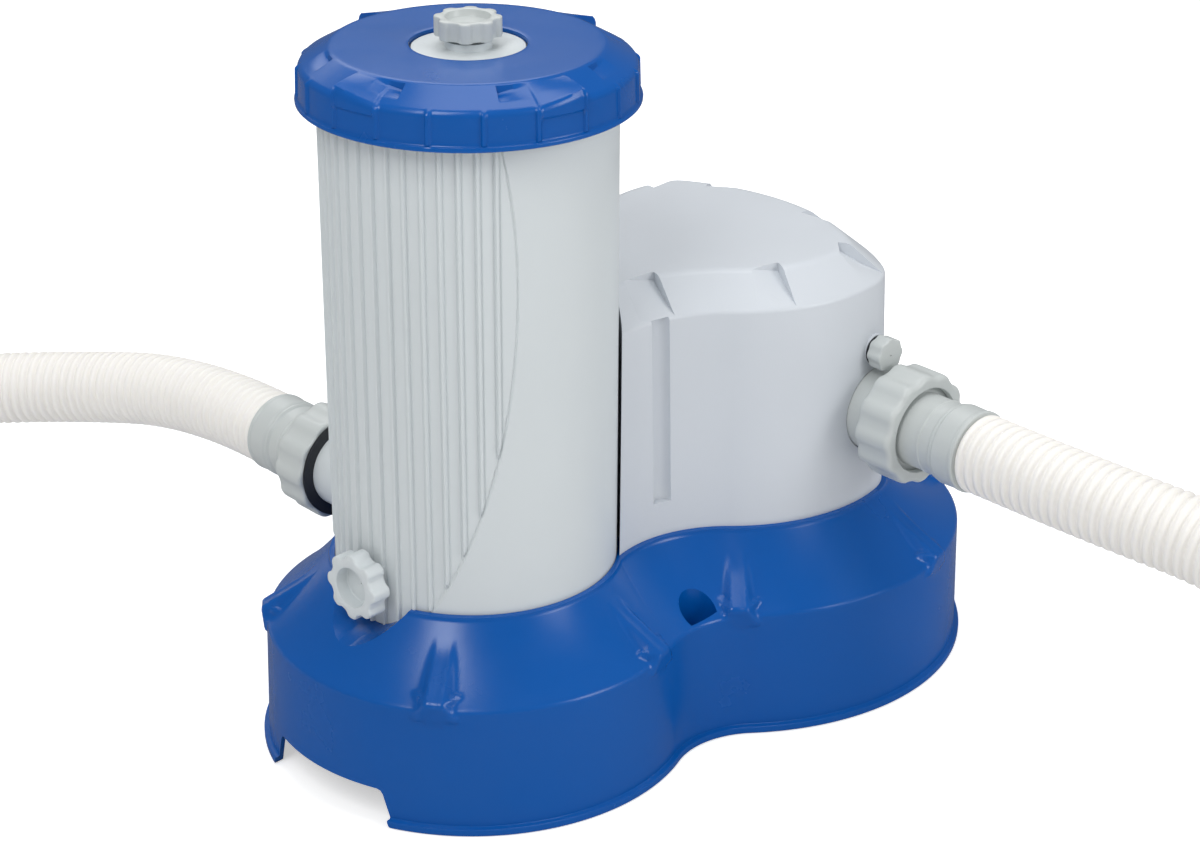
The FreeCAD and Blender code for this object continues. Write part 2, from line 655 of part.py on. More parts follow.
# vent plug above the outlet, screwed into the cover's wall
vent_foot = Vector(float(d.vent_x), -float(d.vent_face), float(d.vent_z))
vent_ring = turned([(5.5, 0), (9, 0), (9, 1.6), (5.5, 1.6)])
place(vent_ring, tuple(vent_foot), FRONT)
node(vent_ring, "vent_plug_o_ring")
vent_grip = lobed_bar(float(d.vent_r), float(d.vent_r) - 1.2, 10, 10.0)
vent_plug = vent_grip.fuse(rod(5.2, DOWN * 14, UP))
node(feature(set_at(vent_plug, vent_foot + FRONT * 1.8, FRONT)), "vent_plug")

# ---- cable gland -----------------------------------------------------------------------
gland_at = (d.shaft_x, 0, d.gland_z)
gland_face = math.sqrt(float(d.cover_r - 1) ** 2 - float(d.cover_x - d.shaft_x) ** 2)


def hexagon(across, length):
    points = [polar(across / math.sqrt(3), 60 * i) for i in range(7)]
    return Part.Face(Part.makePolygon(points)).extrude(UP * length)


gland = hexagon(22.0, 7.0).fuse([rod(7.8, DOWN * 14, UP), rod(8.5, UP * 6, UP * 14, 6.5)])
gland = gland.cut(rod(d.cord_r, DOWN * 20, UP * 20))
gland_mouth = Vector(float(d.shaft_x), gland_face + 0.6, float(d.gland_z))
node(feature(set_at(gland, gland_mouth, BACK)), "cable_gland_body")
gland_nut = hexagon(21.0, 5.0).cut(rod(7.8, DOWN, UP * 9))
node(feature(set_at(gland_nut, gland_mouth + FRONT * 10.2, BACK)), "cable_gland_nut")

# ---- pump ------------------------------------------------------------------------------
chamber_z = d.outlet_z - 22


def on_shaft(z):
    return (d.shaft_x, 0, z)


bracket_profile = [(46, 0), (62, 0), (62, 4), (50, 4), (50, 34), (40, 34), (40, 30), (46, 30)]
bracket_ring = turned(bracket_profile, on_shaft(d.deck_z))
openings = [block(140, 22, 22, (d.shaft_x - 70, -11, d.deck_z + 6))]
openings.append(block(22, 140, 22, (d.shaft_x - 11, -70, d.deck_z + 6)))
for a in BRACKET_SCREWS:
    spot = polar(54, a, 0, float(d.shaft_x))
    openings.append(cylinder(2.0, 10, (spot.x, spot.y, d.deck_z - 3)))
node(cut(bracket_ring, *openings), "pump_bracket")

VOLUTE_SCREWS = (0, 60, 120, 180, 240, 300)
volute_profile = [(15.5, 0), (48, 0), (48, 32), (54, 33), (54, 38), (44, 38), (44, 4), (15.5, 4)]
volute_bowl = turned(volute_profile, on_shaft(chamber_z))
suction_stub = tube(19, 15.5, 5, on_shaft(chamber_z - 4))
outlet_face = d.outlet_hose_y - d.seal_face
discharge = cylinder(21, 80, (d.outlet_x, -10, d.outlet_z), FRONT)
outlet_spigot = cylinder(d.spigot_r, outlet_face - 80, (d.outlet_x, -80, d.outlet_z), FRONT)
outlet_start = (d.outlet_x, d.thread_length - outlet_face, d.outlet_z)
outlet_thread = cylinder(d.thread_r, d.thread_length, outlet_start, FRONT)
discharge_bore = cylinder(d.port_bore, 150, (d.outlet_x, 5, d.outlet_z), FRONT)
chamber = cylinder(44, 34.1, on_shaft(chamber_z + 4))
lid_room = cylinder(60, 30, on_shaft(chamber_z + 38))
eye = cylinder(15.5, 12, on_shaft(chamber_z - 5))


def on_flange(radius, z, height):
    """A ring of six screw-sized cylinders in the volute's flange."""
    spots = [polar(50.8, a, 0, float(d.shaft_x)) for a in VOLUTE_SCREWS]
    return [cylinder(radius, height, (spot.x, spot.y, z)) for spot in spots]


pump_body = fuse(volute_bowl, suction_stub, discharge, outlet_spigot, outlet_thread)
threads = on_flange(1.5, chamber_z + 28, 11)
node(cut(pump_body, discharge_bore, chamber, lid_room, eye, *threads), "pump_volute")
lid_z = chamber_z + 39.5
gasket_ring = tube(54, 44, 1.5, on_shaft(chamber_z + 38))
node(cut(gasket_ring, *on_flange(1.5, chamber_z + 36, 5)), "volute_gasket")
lid_ring = tube(54, 8, 4, on_shaft(lid_z))
node(cut(lid_ring, *on_flange(1.5, lid_z - 1, 8)), "volute_cover")
node(tube(8, d.shaft_r + d.running, 8, on_shaft(lid_z - 2)), "lower_shaft_bush")

pump_screws = []
for a in BRACKET_SCREWS:
    foot = polar(54, a, float(d.deck_z), float(d.shaft_x))
    screw = rod(2.0, foot + DOWN * 6, foot + UP * 4).fuse(rod(3.8, foot + UP * 4, foot + UP * 6.6))
    pump_screws.append(screw.fuse(rod(3.8, foot + DOWN * 6, foot + DOWN * 3)))
for a in VOLUTE_SCREWS:
    foot = polar(50.8, a, float(lid_z) + 4, float(d.shaft_x))
    pump_screws.append(rod(1.5, foot + DOWN * 14, foot).fuse(rod(2.8, foot, foot + UP * 2.2)))
node(feature(Part.makeCompound(pump_screws)), "pump_screws")


def blade_face(turn):
    """One swept-back blade from the hub to the rim, thicker towards the rim."""
    sweep_back = [(7, 0), (20, -22), (34, -62)]
    front = [polar(r, a + turn) for r, a in sweep_back]
    rear = [polar(r, a + turn + 6) for r, a in sweep_back]
    edges = [Part.Arc(*front).toShape(), Part.makeLine(front[2], rear[2])]
    edges += [Part.Arc(*reversed(rear)).toShape(), Part.makeLine(rear[0], front[0])]
    return Part.Face(Part.Wire(edges))


def impeller(count=6):
    """A shrouded impeller: hub, back plate and curved blades that face the eye below."""
    low, high = float(chamber_z) + 8, float(chamber_z) + 32
    axis = Vector(float(d.shaft_x), 0, 0)
    hub = rod(8, axis + UP * low, axis + UP * (high + 2))
    plate = rod(36, axis + UP * (high - 3), axis + UP * high)
    blades = []
    for i in range(count):
        face = blade_face(360 / count * i)
        blades.append(face.extrude(UP * (high - low - 2)).translated(axis + UP * low))
    solid = hub.fuse([plate] + blades)
    return solid.cut(rod(d.shaft_r, axis + UP * (low - 1), axis + UP * (high + 5)))


node(feature(impeller()), "impeller")
rotor_low, rotor_high = chamber_z + 46, chamber_z + 82
node(tube(17, d.shaft_r, rotor_high - rotor_low, on_shaft(rotor_low)), "rotor_magnet")
shaft_low = chamber_z + 8
node(cylinder(d.shaft_r, 84, on_shaft(shaft_low)), "rotor_shaft")
can_low = lid_z + 4
can_profile = [
    (19.5, 0), (30, 0), (30, 2), (21, 2), (21, 50), (8, 50), (8, 48), (19.5, 48),
]
node(turned(can_profile, on_shaft(can_low)), "rotor_can")
node(tube(8, d.shaft_r + d.running, 6, on_shaft(can_low + 44)), "upper_shaft_bush")


def stator(teeth=6):
    """The laminated ring with slots for the windings."""
    ring = rod(43, Vector(0, 0, 0), UP * 26).cut(rod(21, DOWN, UP * 30))
    slots = []
    for i in range(teeth):
        slot = Part.makeBox(12, 10, 40, Vector(24, -5, -2))
        slot.rotate(Vector(0, 0, 0), UP, 360 / teeth * i)
        slots.append(slot)
    return ring.cut(slots)


stator_z = float(can_low) + 10
node(feature(set_at(stator(), (d.shaft_x, 0, stator_z))), "stator_core")
lower_coil = rod(37, UP * -7, UP * 0).cut(rod(23.5, UP * -8, UP))
upper_coil = rod(37, UP * 26, UP * 34).cut(rod(23.5, UP * 25, UP * 35))
coils = [set_at(c, (d.shaft_x, 0, stator_z)) for c in (lower_coil, upper_coil)]
node(feature(Part.makeCompound(coils)), "stator_windings")
motor_profile = [(43, 0), (47, 0), (47, 56), (0, 56), (0, 53), (43, 53)]
node(turned(motor_profile, on_shaft(can_low)), "motor_can")


def suction_duct():
    """The pipe under the deck, from the canister's floor to the pump's eye."""
    start = Vector(float(d.can_x), 0, float(d.can_floor_z))
    end = Vector(float(d.shaft_x), 0, float(chamber_z) - 4)
    low, bend = 52.0, 30.0
    near, far = Vector(start.x, 0, low), Vector(end.x, 0, low)
    path = rounded_path([start, near, far, end], [bend, bend])
    pipe = sweep(path, 18.0, start, DOWN).cut(sweep(path, 15.0, start, DOWN))
    top = rod(24, start + DOWN * 4, start).cut(rod(15, start + DOWN * 5, start + UP))
    flange = rod(26, end + DOWN * 4, end).cut(rod(15, end + DOWN * 5, end + UP))
    return pipe.fuse([top, flange])


def rounded_path(points, radii):
    """Straight runs joined by tangent arcs of the given radii at the inner points."""
    edges, last = [], points[0]
    for before, corner, after, radius in zip(points, points[1:], points[2:], radii):
        come, go = (corner - before).normalize(), (after - corner).normalize()
        half = come.getAngle(go) / 2
        back = radius * math.tan(half)
        start, end = corner - come * back, corner + go * back
        middle = corner + (go - come).normalize() * (radius / math.cos(half) - radius)
        edges.append(Part.LineSegment(last, start).toShape())
        edges.append(Part.Arc(start, middle, end).toShape())
        last = end
    edges.append(Part.LineSegment(last, points[-1]).toShape())
    return Part.Wire(edges)


def sweep(path, radius, start, way):
    ring = Part.Wire([Part.makeCircle(float(radius), start, way)])
    return path.makePipeShell([ring], True, False)


node(feature(suction_duct()), "suction_duct")

# ---- unions and hoses --------------------------------------------------------------------


def union_nut():
    """A scalloped nut: a narrow lip round the hose tail, then a wide threaded bore."""
    length = float(d.nut_length)
    body = lobed_bar(float(d.nut_r), float(d.nut_r) - 1.8, 12, length, 0.35)
    chamber = rod(d.thread_r + 0.8, UP * 4.5, UP * 9.2)
    return body.cut([rod(d.nut_lip_r, DOWN, UP * 5), chamber, rod(d.thread_r + 0.2, UP * 9, UP * 40)])


def hose_tail():
    """The tail: a collar and neck from the cuff, and the flange that the nut draws up."""
    flange_end = float(d.seal_face) - 2.5
    neck = rod(d.tail_r, UP * float(d.cuff_length), UP * flange_end)
    flange = rod(d.thread_r - 0.5, UP * (flange_end - 4), UP * flange_end)
    collar = rod(d.tail_r + 1, UP * float(d.cuff_length), UP * float(d.cuff_length + 3))
    return neck.fuse([flange, collar]).cut(rod(17, UP * 10, UP * 90))


def hose_cuff():
    body = rod(d.cuff_r - 0.6, UP * 0.0, UP * float(d.cuff_length), d.cuff_r)
    return body.cut(rod(17, DOWN, UP * 60))


unions = {"nut": union_nut(), "tail": hose_tail(), "cuff": hose_cuff()}


def fit_union(prefix, start, way, names):
    """Cuff, tail and nut in a row, from the hose's end face along way."""
    spot = Vector(*start)
    node(feature(set_at(unions["cuff"], spot, way)), f"{prefix}_{names[0]}")
    node(feature(set_at(unions["tail"], spot, way)), f"{prefix}_{names[1]}")
    nut_at = spot + way * float(d.cuff_length + d.tail_length)
    node(feature(set_at(unions["nut"], nut_at, way)), f"{prefix}_{names[2]}")


def hose(route, name):
    """A corrugated hose's plain envelope: straight runs joined by tangent arcs."""
    points = [Vector(*p) for p in route]
    runs = [b - a for a, b in zip(points, points[1:])]
    radii = []
    for one, two in zip(runs, runs[1:]):
        half = one.getAngle(two) / 2
        radii.append(0.45 * min(one.Length, two.Length) / math.tan(half))
    path = rounded_path(points, radii)
    outside = sweep(path, d.hose_r, points[0], runs[0])
    inside = sweep(path, d.hose_bore, points[0], runs[0])
    solid = outside.cut(inside)
    area = math.pi * (float(d.hose_r) ** 2 - float(d.hose_bore) ** 2)
    ratio = solid.Volume / (area * path.Length)
    print(name, "length", round(path.Length), "volume ratio", round(ratio, 4))
    print(name, "radii", [round(r) for r in radii])
    node(feature(solid), name)
    return runs[-1].normalize()


near_names = ("hose_cuff", "hose_tail", "union_nut")
far_names = ("far_cuff", "far_tail", "far_nut")
ports = (("inlet", INLET_ROUTE, FRONT), ("outlet", OUTLET_ROUTE, BACK))
for prefix, route, near_way in ports:
    last_way = hose(route, f"{prefix}_hose")
    fit_union(prefix, route[0], near_way, near_names)
    fit_union(prefix, route[-1], last_way, far_names)
    seal_at = Vector(*route[0]) + near_way * float(d.seal_face)
    seal = rod(d.thread_r - 0.5, DOWN * 2.5, UP * 0.0).cut(rod(17, DOWN * 5, UP * 5))
    node(feature(set_at(seal, seal_at, near_way)), f"{prefix}_union_gasket")

# ---- checks and export -------------------------------------------------------------------
doc.recompute()
os.makedirs("parts", exist_ok=True)
for obj in doc.Objects:
    if "Invalid" in obj.State or "Error" in obj.State:
        raise RuntimeError(f"{obj.Name} ({obj.Label}) did not build: {obj.State}")
for obj in nodes:
    shape = obj.Shape
    if shape.isNull() or not shape.isValid() or not shape.Solids:
        raise RuntimeError(f"{obj.Label} has no valid solid")
    print(f"{obj.Label:24s} solids {len(shape.Solids):3d}  volume {shape.Volume / 1000:9.1f} cm3")
    shape.exportStep(os.path.join("parts", f"{obj.Label}.step"))
print(len(nodes), "sub-parts")
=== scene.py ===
import bmesh
import bpy
import json
import math
import numpy as np
from mathutils import Matrix, Vector


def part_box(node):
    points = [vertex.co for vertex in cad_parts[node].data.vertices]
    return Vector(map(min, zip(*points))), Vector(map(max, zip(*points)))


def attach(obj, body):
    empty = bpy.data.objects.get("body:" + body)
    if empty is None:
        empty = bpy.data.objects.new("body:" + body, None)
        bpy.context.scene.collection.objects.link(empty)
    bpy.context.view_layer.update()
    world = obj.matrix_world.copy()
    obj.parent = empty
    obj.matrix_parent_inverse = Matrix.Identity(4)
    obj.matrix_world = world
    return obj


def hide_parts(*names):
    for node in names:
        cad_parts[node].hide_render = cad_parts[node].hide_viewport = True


# Pool pump with a cartridge filter. Metres, +Z up; the origin is on the floor midway
# between the fixing holes, +X runs from the filter to the pump, and -Y is the outlet side.

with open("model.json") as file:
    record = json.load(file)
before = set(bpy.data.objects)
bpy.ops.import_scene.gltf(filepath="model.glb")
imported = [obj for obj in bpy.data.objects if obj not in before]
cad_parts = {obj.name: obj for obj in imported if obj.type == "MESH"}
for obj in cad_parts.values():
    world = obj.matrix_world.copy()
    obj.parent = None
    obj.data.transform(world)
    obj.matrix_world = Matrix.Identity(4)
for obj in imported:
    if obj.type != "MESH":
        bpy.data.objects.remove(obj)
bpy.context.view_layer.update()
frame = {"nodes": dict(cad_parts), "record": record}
MM = 0.001
UP = Vector((0, 0, 1))
BACK = Vector((0, 1, 0))
FRONT = Vector((0, -1, 0))


def at(x, y, z):
    """A point given in millimetres."""
    return Vector((x, y, z)) * MM


def middle(node):
    low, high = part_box(node)
    return (Vector(low) + Vector(high)) / 2


def top_of(node):
    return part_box(node)[1][2]


def bottom_of(node):
    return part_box(node)[0][2]


FILTER_X = middle("cartridge_core").x
PUMP_X = middle("rotor_shaft").x
DECK_Z = top_of("base_shell")
CREASE_Z = 0.077
COVER_TOP = top_of("motor_cover")
CHAMFER_WIDTH, CHAMFER_HEIGHT = 24.5, 18
SHOULDER_Z = COVER_TOP - CHAMFER_HEIGHT * MM
CAN_R = 0.082
CAN_GAP = 0.4 * MM
OUTLET = middle("outlet_union_nut")
INLET = middle("inlet_union_nut")
DRAIN_ANGLE = math.radians(184)
DRAIN_WAY = Vector((math.cos(DRAIN_ANGLE), math.sin(DRAIN_ANGLE), 0))
DRAIN_AXIS = Vector((FILTER_X, 0, 126.5 * MM))
OUTLET_X = 139
VENT_X, VENT_Z = 139.5, 210
FIXING_Y = 98
SHARP_ANGLE = 32.0

# ---- materials ---------------------------------------------------------------------------


def srgb(*values):
    """A linear colour from 0-255 screen values."""
    unit = [v / 255 for v in values]
    linear = [u / 12.92 if u <= 0.04045 else ((u + 0.055) / 1.055) ** 2.4 for u in unit]
    return (*linear, 1.0)


class Nodes:
    """A small helper for building a material's node tree."""

    def __init__(self, name):
        self.material = bpy.data.materials.new(name)
        self.material.use_nodes = True
        self.tree = self.material.node_tree
        self.shader = self.tree.nodes["Principled BSDF"]

    def add(self, kind, **settings):
        new = self.tree.nodes.new(kind)
        for key, value in settings.items():
            if key in new.inputs:
                new.inputs[key].default_value = value
            else:
                setattr(new, key, value)
        return new

    def link(self, source, target):
        self.tree.links.new(source, target)

    def noise(self, scale, detail=4.0, stretch=(1, 1, 1)):
        coords = self.add("ShaderNodeTexCoord")
        place = self.add("ShaderNodeMapping", Scale=stretch)
        pattern = self.add("ShaderNodeTexNoise", Scale=scale, Detail=detail)
        self.link(coords.outputs["Object"], place.inputs["Vector"])
        self.link(place.outputs["Vector"], pattern.inputs["Vector"])
        return pattern.outputs["Fac"]

    def ramp(self, factor, low, high, start=0.3, end=0.7):
        ramp = self.add("ShaderNodeMapRange")
        for key, value in (("From Min", start), ("From Max", end), ("To Min", low), ("To Max", high)):
            ramp.inputs[key].default_value = value
        self.link(factor, ramp.inputs["Value"])
        return ramp.outputs["Result"]

    def tint(self, factor, dark, light):
        mix = self.add("ShaderNodeMix", data_type="RGBA")
        for key, value in (("A", dark), ("B", light)):
            for socket in mix.inputs:
                if socket.name == key and socket.type == "RGBA":
                    socket.default_value = value
        self.link(factor, mix.inputs["Factor"])
        return [s for s in mix.outputs if s.type == "RGBA"][0]

    def bump(self, height, strength, distance):
        bump = self.add("ShaderNodeBump", Strength=strength, Distance=distance)
        self.link(height, bump.inputs["Height"])
        self.link(bump.outputs["Normal"], self.shader.inputs["Normal"])
        return bump


def plastic(
    name, colour, rough=(0.34, 0.46), shade=0.94, grain=0.00012, coat=0.0, subsurface=0.0, gloss=0.5
):
    """Moulded plastic: a faint mottle in colour and gloss, a fine grain and slow moulding waves."""
    n = Nodes(name)
    dark = tuple(c * shade for c in colour[:3]) + (1.0,)
    n.link(n.tint(n.ramp(n.noise(9.0, 3.0), 0, 1), dark, colour), n.shader.inputs["Base Color"])
    n.link(n.ramp(n.noise(26.0, 5.0), *rough), n.shader.inputs["Roughness"])
    fine, slow = n.noise(1400.0, 2.0), n.noise(7.0, 2.0)
    first = n.bump(fine, 0.35, grain)
    second = n.add("ShaderNodeBump", Strength=0.15, Distance=0.0006)
    n.link(slow, second.inputs["Height"])
    n.link(second.outputs["Normal"], first.inputs["Normal"])
    n.shader.inputs["Specular IOR Level"].default_value = gloss
    n.shader.inputs["Coat Weight"].default_value = coat
    n.shader.inputs["Coat Roughness"].default_value = 0.25
    if subsurface:
        n.shader.inputs["Subsurface Weight"].default_value = subsurface
        n.shader.inputs["Subsurface Radius"].default_value = (0.004, 0.004, 0.003)
        n.shader.inputs["Subsurface Scale"].default_value = 1.0
    return n.material


def metal(name, colour, rough=(0.25, 0.4), streak=(1, 1, 30)):
    """Bare metal with streaks along one direction."""
    n = Nodes(name)
    dark = tuple(c * 0.8 for c in colour[:3]) + (1.0,)
    brushed = n.noise(120.0, 4.0, streak)
    n.link(n.tint(n.ramp(brushed, 0, 1), dark, colour), n.shader.inputs["Base Color"])
    n.link(n.ramp(n.noise(60.0, 4.0), *rough), n.shader.inputs["Roughness"])
    n.shader.inputs["Metallic"].default_value = 1.0
    n.bump(brushed, 0.2, 0.0001)
    return n.material


def cloth(name, colour):
    """Filter paper: short fibres over a soft mottle."""
    n = Nodes(name)
    fibres = n.noise(900.0, 6.0, (1, 1, 0.25))
    dark = tuple(c * 0.86 for c in colour[:3]) + (1.0,)
    n.link(n.tint(n.ramp(fibres, 0, 1), dark, colour), n.shader.inputs["Base Color"])
    n.shader.inputs["Roughness"].default_value = 0.9
    n.bump(fibres, 0.6, 0.0003)
    return n.material


MATERIALS = {
    "base_blue": plastic("blue plastic", srgb(0, 84, 166), (0.2, 0.28), 0.95, coat=0.08, gloss=0.4),
    "canister_grey": plastic("canister grey", srgb(210, 216, 218), (0.34, 0.46), 0.98),
    "cover_grey": plastic("cover grey", srgb(208, 213, 219), (0.3, 0.42), 0.98),
    "fitting_grey": plastic("fitting grey", srgb(198, 203, 202), (0.28, 0.4), 0.96),
    "hose_white": plastic("hose white", srgb(248, 245, 240), (0.36, 0.5), 0.98, subsurface=0.12),
    "pump_black": plastic("pump black", srgb(34, 35, 37), (0.4, 0.55), 0.8),
    "seal_rubber": plastic("seal rubber", srgb(38, 40, 46), (0.5, 0.65), 0.8, 0.0002),
    "cap_blue": plastic("end cap blue", srgb(60, 110, 175), (0.5, 0.6), 0.9),
    "ceramic_white": plastic("core white", srgb(228, 228, 224), (0.3, 0.4), 0.96),
    "filter_cloth": cloth("filter cloth", srgb(236, 238, 240)),
    "steel": metal("steel", srgb(190, 192, 195)),
    "stator_iron": metal("laminated iron", srgb(120, 120, 124), (0.45, 0.6), (1, 1, 90)),
    "magnet": metal("ferrite", srgb(70, 70, 74), (0.5, 0.65), (1, 1, 1)),
    "copper": metal("copper", srgb(196, 120, 70), (0.3, 0.4), (1, 1, 60)),
}
SLOT_OF = {p["node"]: p["material_slot"] for p in frame["record"]["subparts"]}


def dress(obj, slot):
    obj.data.materials.clear()
    obj.data.materials.append(MATERIALS[slot])


def smooth(obj, angle=SHARP_ANGLE):
    """Smooth shading, with edges sharper than an angle in degrees kept crisp."""
    obj.data.polygons.foreach_set("use_smooth", [True] * len(obj.data.polygons))
    obj.data.set_sharp_from_angle(angle=math.radians(angle))


for name, node in frame["nodes"].items():
    dress(node, SLOT_OF[name])
    smooth(node)

# ---- mesh helpers ------------------------------------------------------------------------


def face_outwards(mesh):
    work = bmesh.new()
    work.from_mesh(mesh)
    bmesh.ops.recalc_face_normals(work, faces=work.faces)
    work.to_mesh(mesh)
    work.free()


def linked(name, data):
    obj = bpy.data.objects.new(name, data)
    bpy.context.scene.collection.objects.link(obj)
    return obj


def place(obj, slot, body, *nodes):
    """Gives a piece its material, the body that it rides on and the CAD nodes it stands for."""
    dress(obj, slot)
    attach(obj, body)
    if nodes:
        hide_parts(*nodes)


def mesh_object(name, points, faces, slot, body, *nodes):
    """A new piece that rides on a body and stands for CAD nodes."""
    mesh = bpy.data.meshes.new(name)
    mesh.from_pydata([tuple(p) for p in points], [], faces)
    mesh.validate()
    mesh.update()
    face_outwards(mesh)
    obj = linked(name, mesh)
    place(obj, slot, body, *nodes)
    return obj


def fixed_piece(obj, name, slot, node, angle):
    """Makes a finished solid a piece of the pump unit, in place of a CAD node."""
    obj.name = obj.data.name = name
    place(obj, slot, "pump_unit", node)
    smooth(obj, angle)


def band(rows, wrap=False, cap_start=False, cap_end=False):
    """Points and quads through closed rings of equal length, with n-gon caps if asked."""
    count = len(rows[0])
    points = [p for row in rows for p in row]
    faces = []
    last = len(rows) if wrap else len(rows) - 1
    for i in range(last):
        a, b = i * count, (i + 1) % len(rows) * count
        for j in range(count):
            k = (j + 1) % count
            faces.append((a + j, a + k, b + k, b + j))
    if cap_start:
        faces.append(tuple(range(count))[::-1])
    if cap_end:
        faces.append(tuple(range((len(rows) - 1) * count, len(rows) * count)))
    return points, faces


def settle(obj):
    """Applies every modifier, so that the mesh itself has the final shape."""
    graph = bpy.context.evaluated_depsgraph_get()
    mesh = bpy.data.meshes.new_from_object(obj.evaluated_get(graph))
    obj.modifiers.clear()
    old, obj.data = obj.data, mesh
    bpy.data.meshes.remove(old)


def boolean(obj, cutters, operation="DIFFERENCE"):
    """Cuts the cutters out of a solid, or joins them to it, and removes them."""
    for cutter in cutters:
        new = obj.modifiers.new("boolean", "BOOLEAN")
        new.operation = operation
        new.solver = "EXACT"
        new.object = cutter
    settle(obj)
    for cutter in cutters:
        bpy.data.objects.remove(cutter)


def tool(points, faces):
    """A loose solid for a boolean."""
    mesh = bpy.data.meshes.new("tool")
    mesh.from_pydata([tuple(p) for p in points], [], faces)
    face_outwards(mesh)
    return linked("tool", mesh)


def frame_along(along, at=(0, 0, 0)):
    """A matrix that turns +Z along a direction and moves the origin to a point."""
    turn = Vector(along).to_track_quat("Z", "Y").to_matrix().to_4x4()
    return Matrix.Translation(Vector(at)) @ turn


def angles(count):
    return [2 * math.pi * i / count for i in range(count)]


def circle(radius, z, count):
    return [(radius * math.cos(a), radius * math.sin(a), z) for a in angles(count)]


def moved(rows, matrix):
    return [[matrix @ Vector(p) for p in row] for row in rows]


def rod(radius, foot, along, length, count=64):
    """A round bar for a boolean, in metres, from its foot along a direction."""
    rows = [circle(radius, 0, count), circle(radius, length, count)]
    return tool(*band(moved(rows, frame_along(along, foot)), cap_start=True, cap_end=True))


def spun(profile, matrix, count=96):
    """A closed profile of (radius, height) in millimetres, spun round the matrix's Z axis."""
    rows = [circle(r * MM, z * MM, count) for r, z in profile]
    return band(moved(rows, matrix), wrap=True)


STRAIGHT = 0.2


def rounded(profile, radius, steps=3):
    """The profile with each corner replaced by a small arc."""
    result = []
    count = len(profile)
    for i in range(count):
        before, here, after = (Vector(profile[j % count]) for j in (i - 1, i, i + 1))
        come, go = here - before, after - here
        turn = come.angle(go) if come.length and go.length else 0
        if turn < STRAIGHT:
            result.append(tuple(here))
            continue
        cut = min(radius * math.tan(turn / 2), 0.45 * come.length, 0.45 * go.length)
        start, end = here - come.normalized() * cut, here + go.normalized() * cut
        for s in range(steps + 1):
            t = s / steps
            result.append(tuple(start * (1 - t) ** 2 + here * 2 * t * (1 - t) + end * t**2))
    return result


# ---- camera, floor and light -------------------------------------------------------------
CAMERA_AT = Vector((-1.011, -1.122, 0.864))
LOOK = Vector((0.6117, 0.6715, -0.4182)).normalized()
ROLL = math.radians(0.254)
side = LOOK.cross(UP).normalized()
above = side.cross(LOOK)
right = side * math.cos(ROLL) + above * math.sin(ROLL)
top = above * math.cos(ROLL) - side * math.sin(ROLL)
camera_data = bpy.data.cameras.new("camera")
camera_data.lens = 83.9
camera_data.sensor_width = 36
camera_data.clip_start = 0.05
camera = linked("camera", camera_data)
turn = Matrix((right, top, -LOOK)).transposed().to_4x4()
camera.matrix_world = Matrix.Translation(CAMERA_AT) @ turn
bpy.context.scene.camera = camera

FLOOR = 6
floor_points = [(-FLOOR, -FLOOR, 0), (FLOOR, -FLOOR, 0), (FLOOR, FLOOR, 0), (-FLOOR, FLOOR, 0)]
floor_mesh = bpy.data.meshes.new("floor")
floor_mesh.from_pydata(floor_points, [], [(0, 1, 2, 3)])
floor = linked("floor", floor_mesh)
floor.location.z = -0.0004
floor_look = Nodes("pale floor")
floor_rays = floor_look.add("ShaderNodeLightPath")
PALE, DIM = (0.9, 0.9, 0.9, 1), (0.22, 0.22, 0.24, 1)
floor_tone = floor_look.tint(floor_rays.outputs["Is Glossy Ray"], PALE, DIM)
floor_look.link(floor_tone, floor_look.shader.inputs["Base Color"])
floor_look.link(floor_rays.outputs["Is Camera Ray"], floor_look.shader.inputs["Emission Strength"])
floor_look.shader.inputs["Emission Color"].default_value = (0.5, 0.5, 0.5, 1)
floor_look.shader.inputs["Roughness"].default_value = 0.75
floor_mesh.materials.append(floor_look.material)


def area_light(name, spot, aim, size, power):
    data = bpy.data.lights.new(name, "AREA")
    data.shape = "RECTANGLE"
    data.size, data.size_y = size
    data.energy = power
    light = linked(name, data)
    light.matrix_world = frame_along(Vector(spot) - Vector(aim), spot)


area_light("key", (-1.6, -0.6, 2.2), (0, 0, 0.15), (0.8, 1.4), 23)
area_light("fill", (0.9, -2.4, 1.3), (0, 0, 0.15), (0.9, 1.3), 19)
area_light("rim", (0.8, 1.8, 1.8), (0, 0, 0.2), (1.5, 1.0), 8)
area_light("top", (0.3, 0.2, 2.3), (0.05, 0, 0.2), (1.4, 1.0), 12)
world = bpy.data.worlds.new("studio")
world.use_nodes = True
sky = world.node_tree
sky.nodes["Background"].inputs["Color"].default_value = (0.98, 0.99, 1.0, 1)
sky_paths = sky.nodes.new("ShaderNodeLightPath")
# white behind the object, softer as light, and dark in reflections so that gloss stays crisp
sky_sum = None
for ray, share in (("Is Camera Ray", 1.0), ("Is Diffuse Ray", 0.53), ("Is Glossy Ray", 0.16)):
    part = sky.nodes.new("ShaderNodeMath")
    part.operation = "MULTIPLY_ADD"
    part.inputs[1].default_value = share
    part.inputs[2].default_value = 0
    sky.links.new(sky_paths.outputs[ray], part.inputs[0])
    if sky_sum:
        sky.links.new(sky_sum, part.inputs[2])
    sky_sum = part.outputs[0]
sky.links.new(sky_sum, sky.nodes["Background"].inputs["Strength"])
bpy.context.scene.world = world
bpy.context.scene.view_settings.view_transform = "Standard"

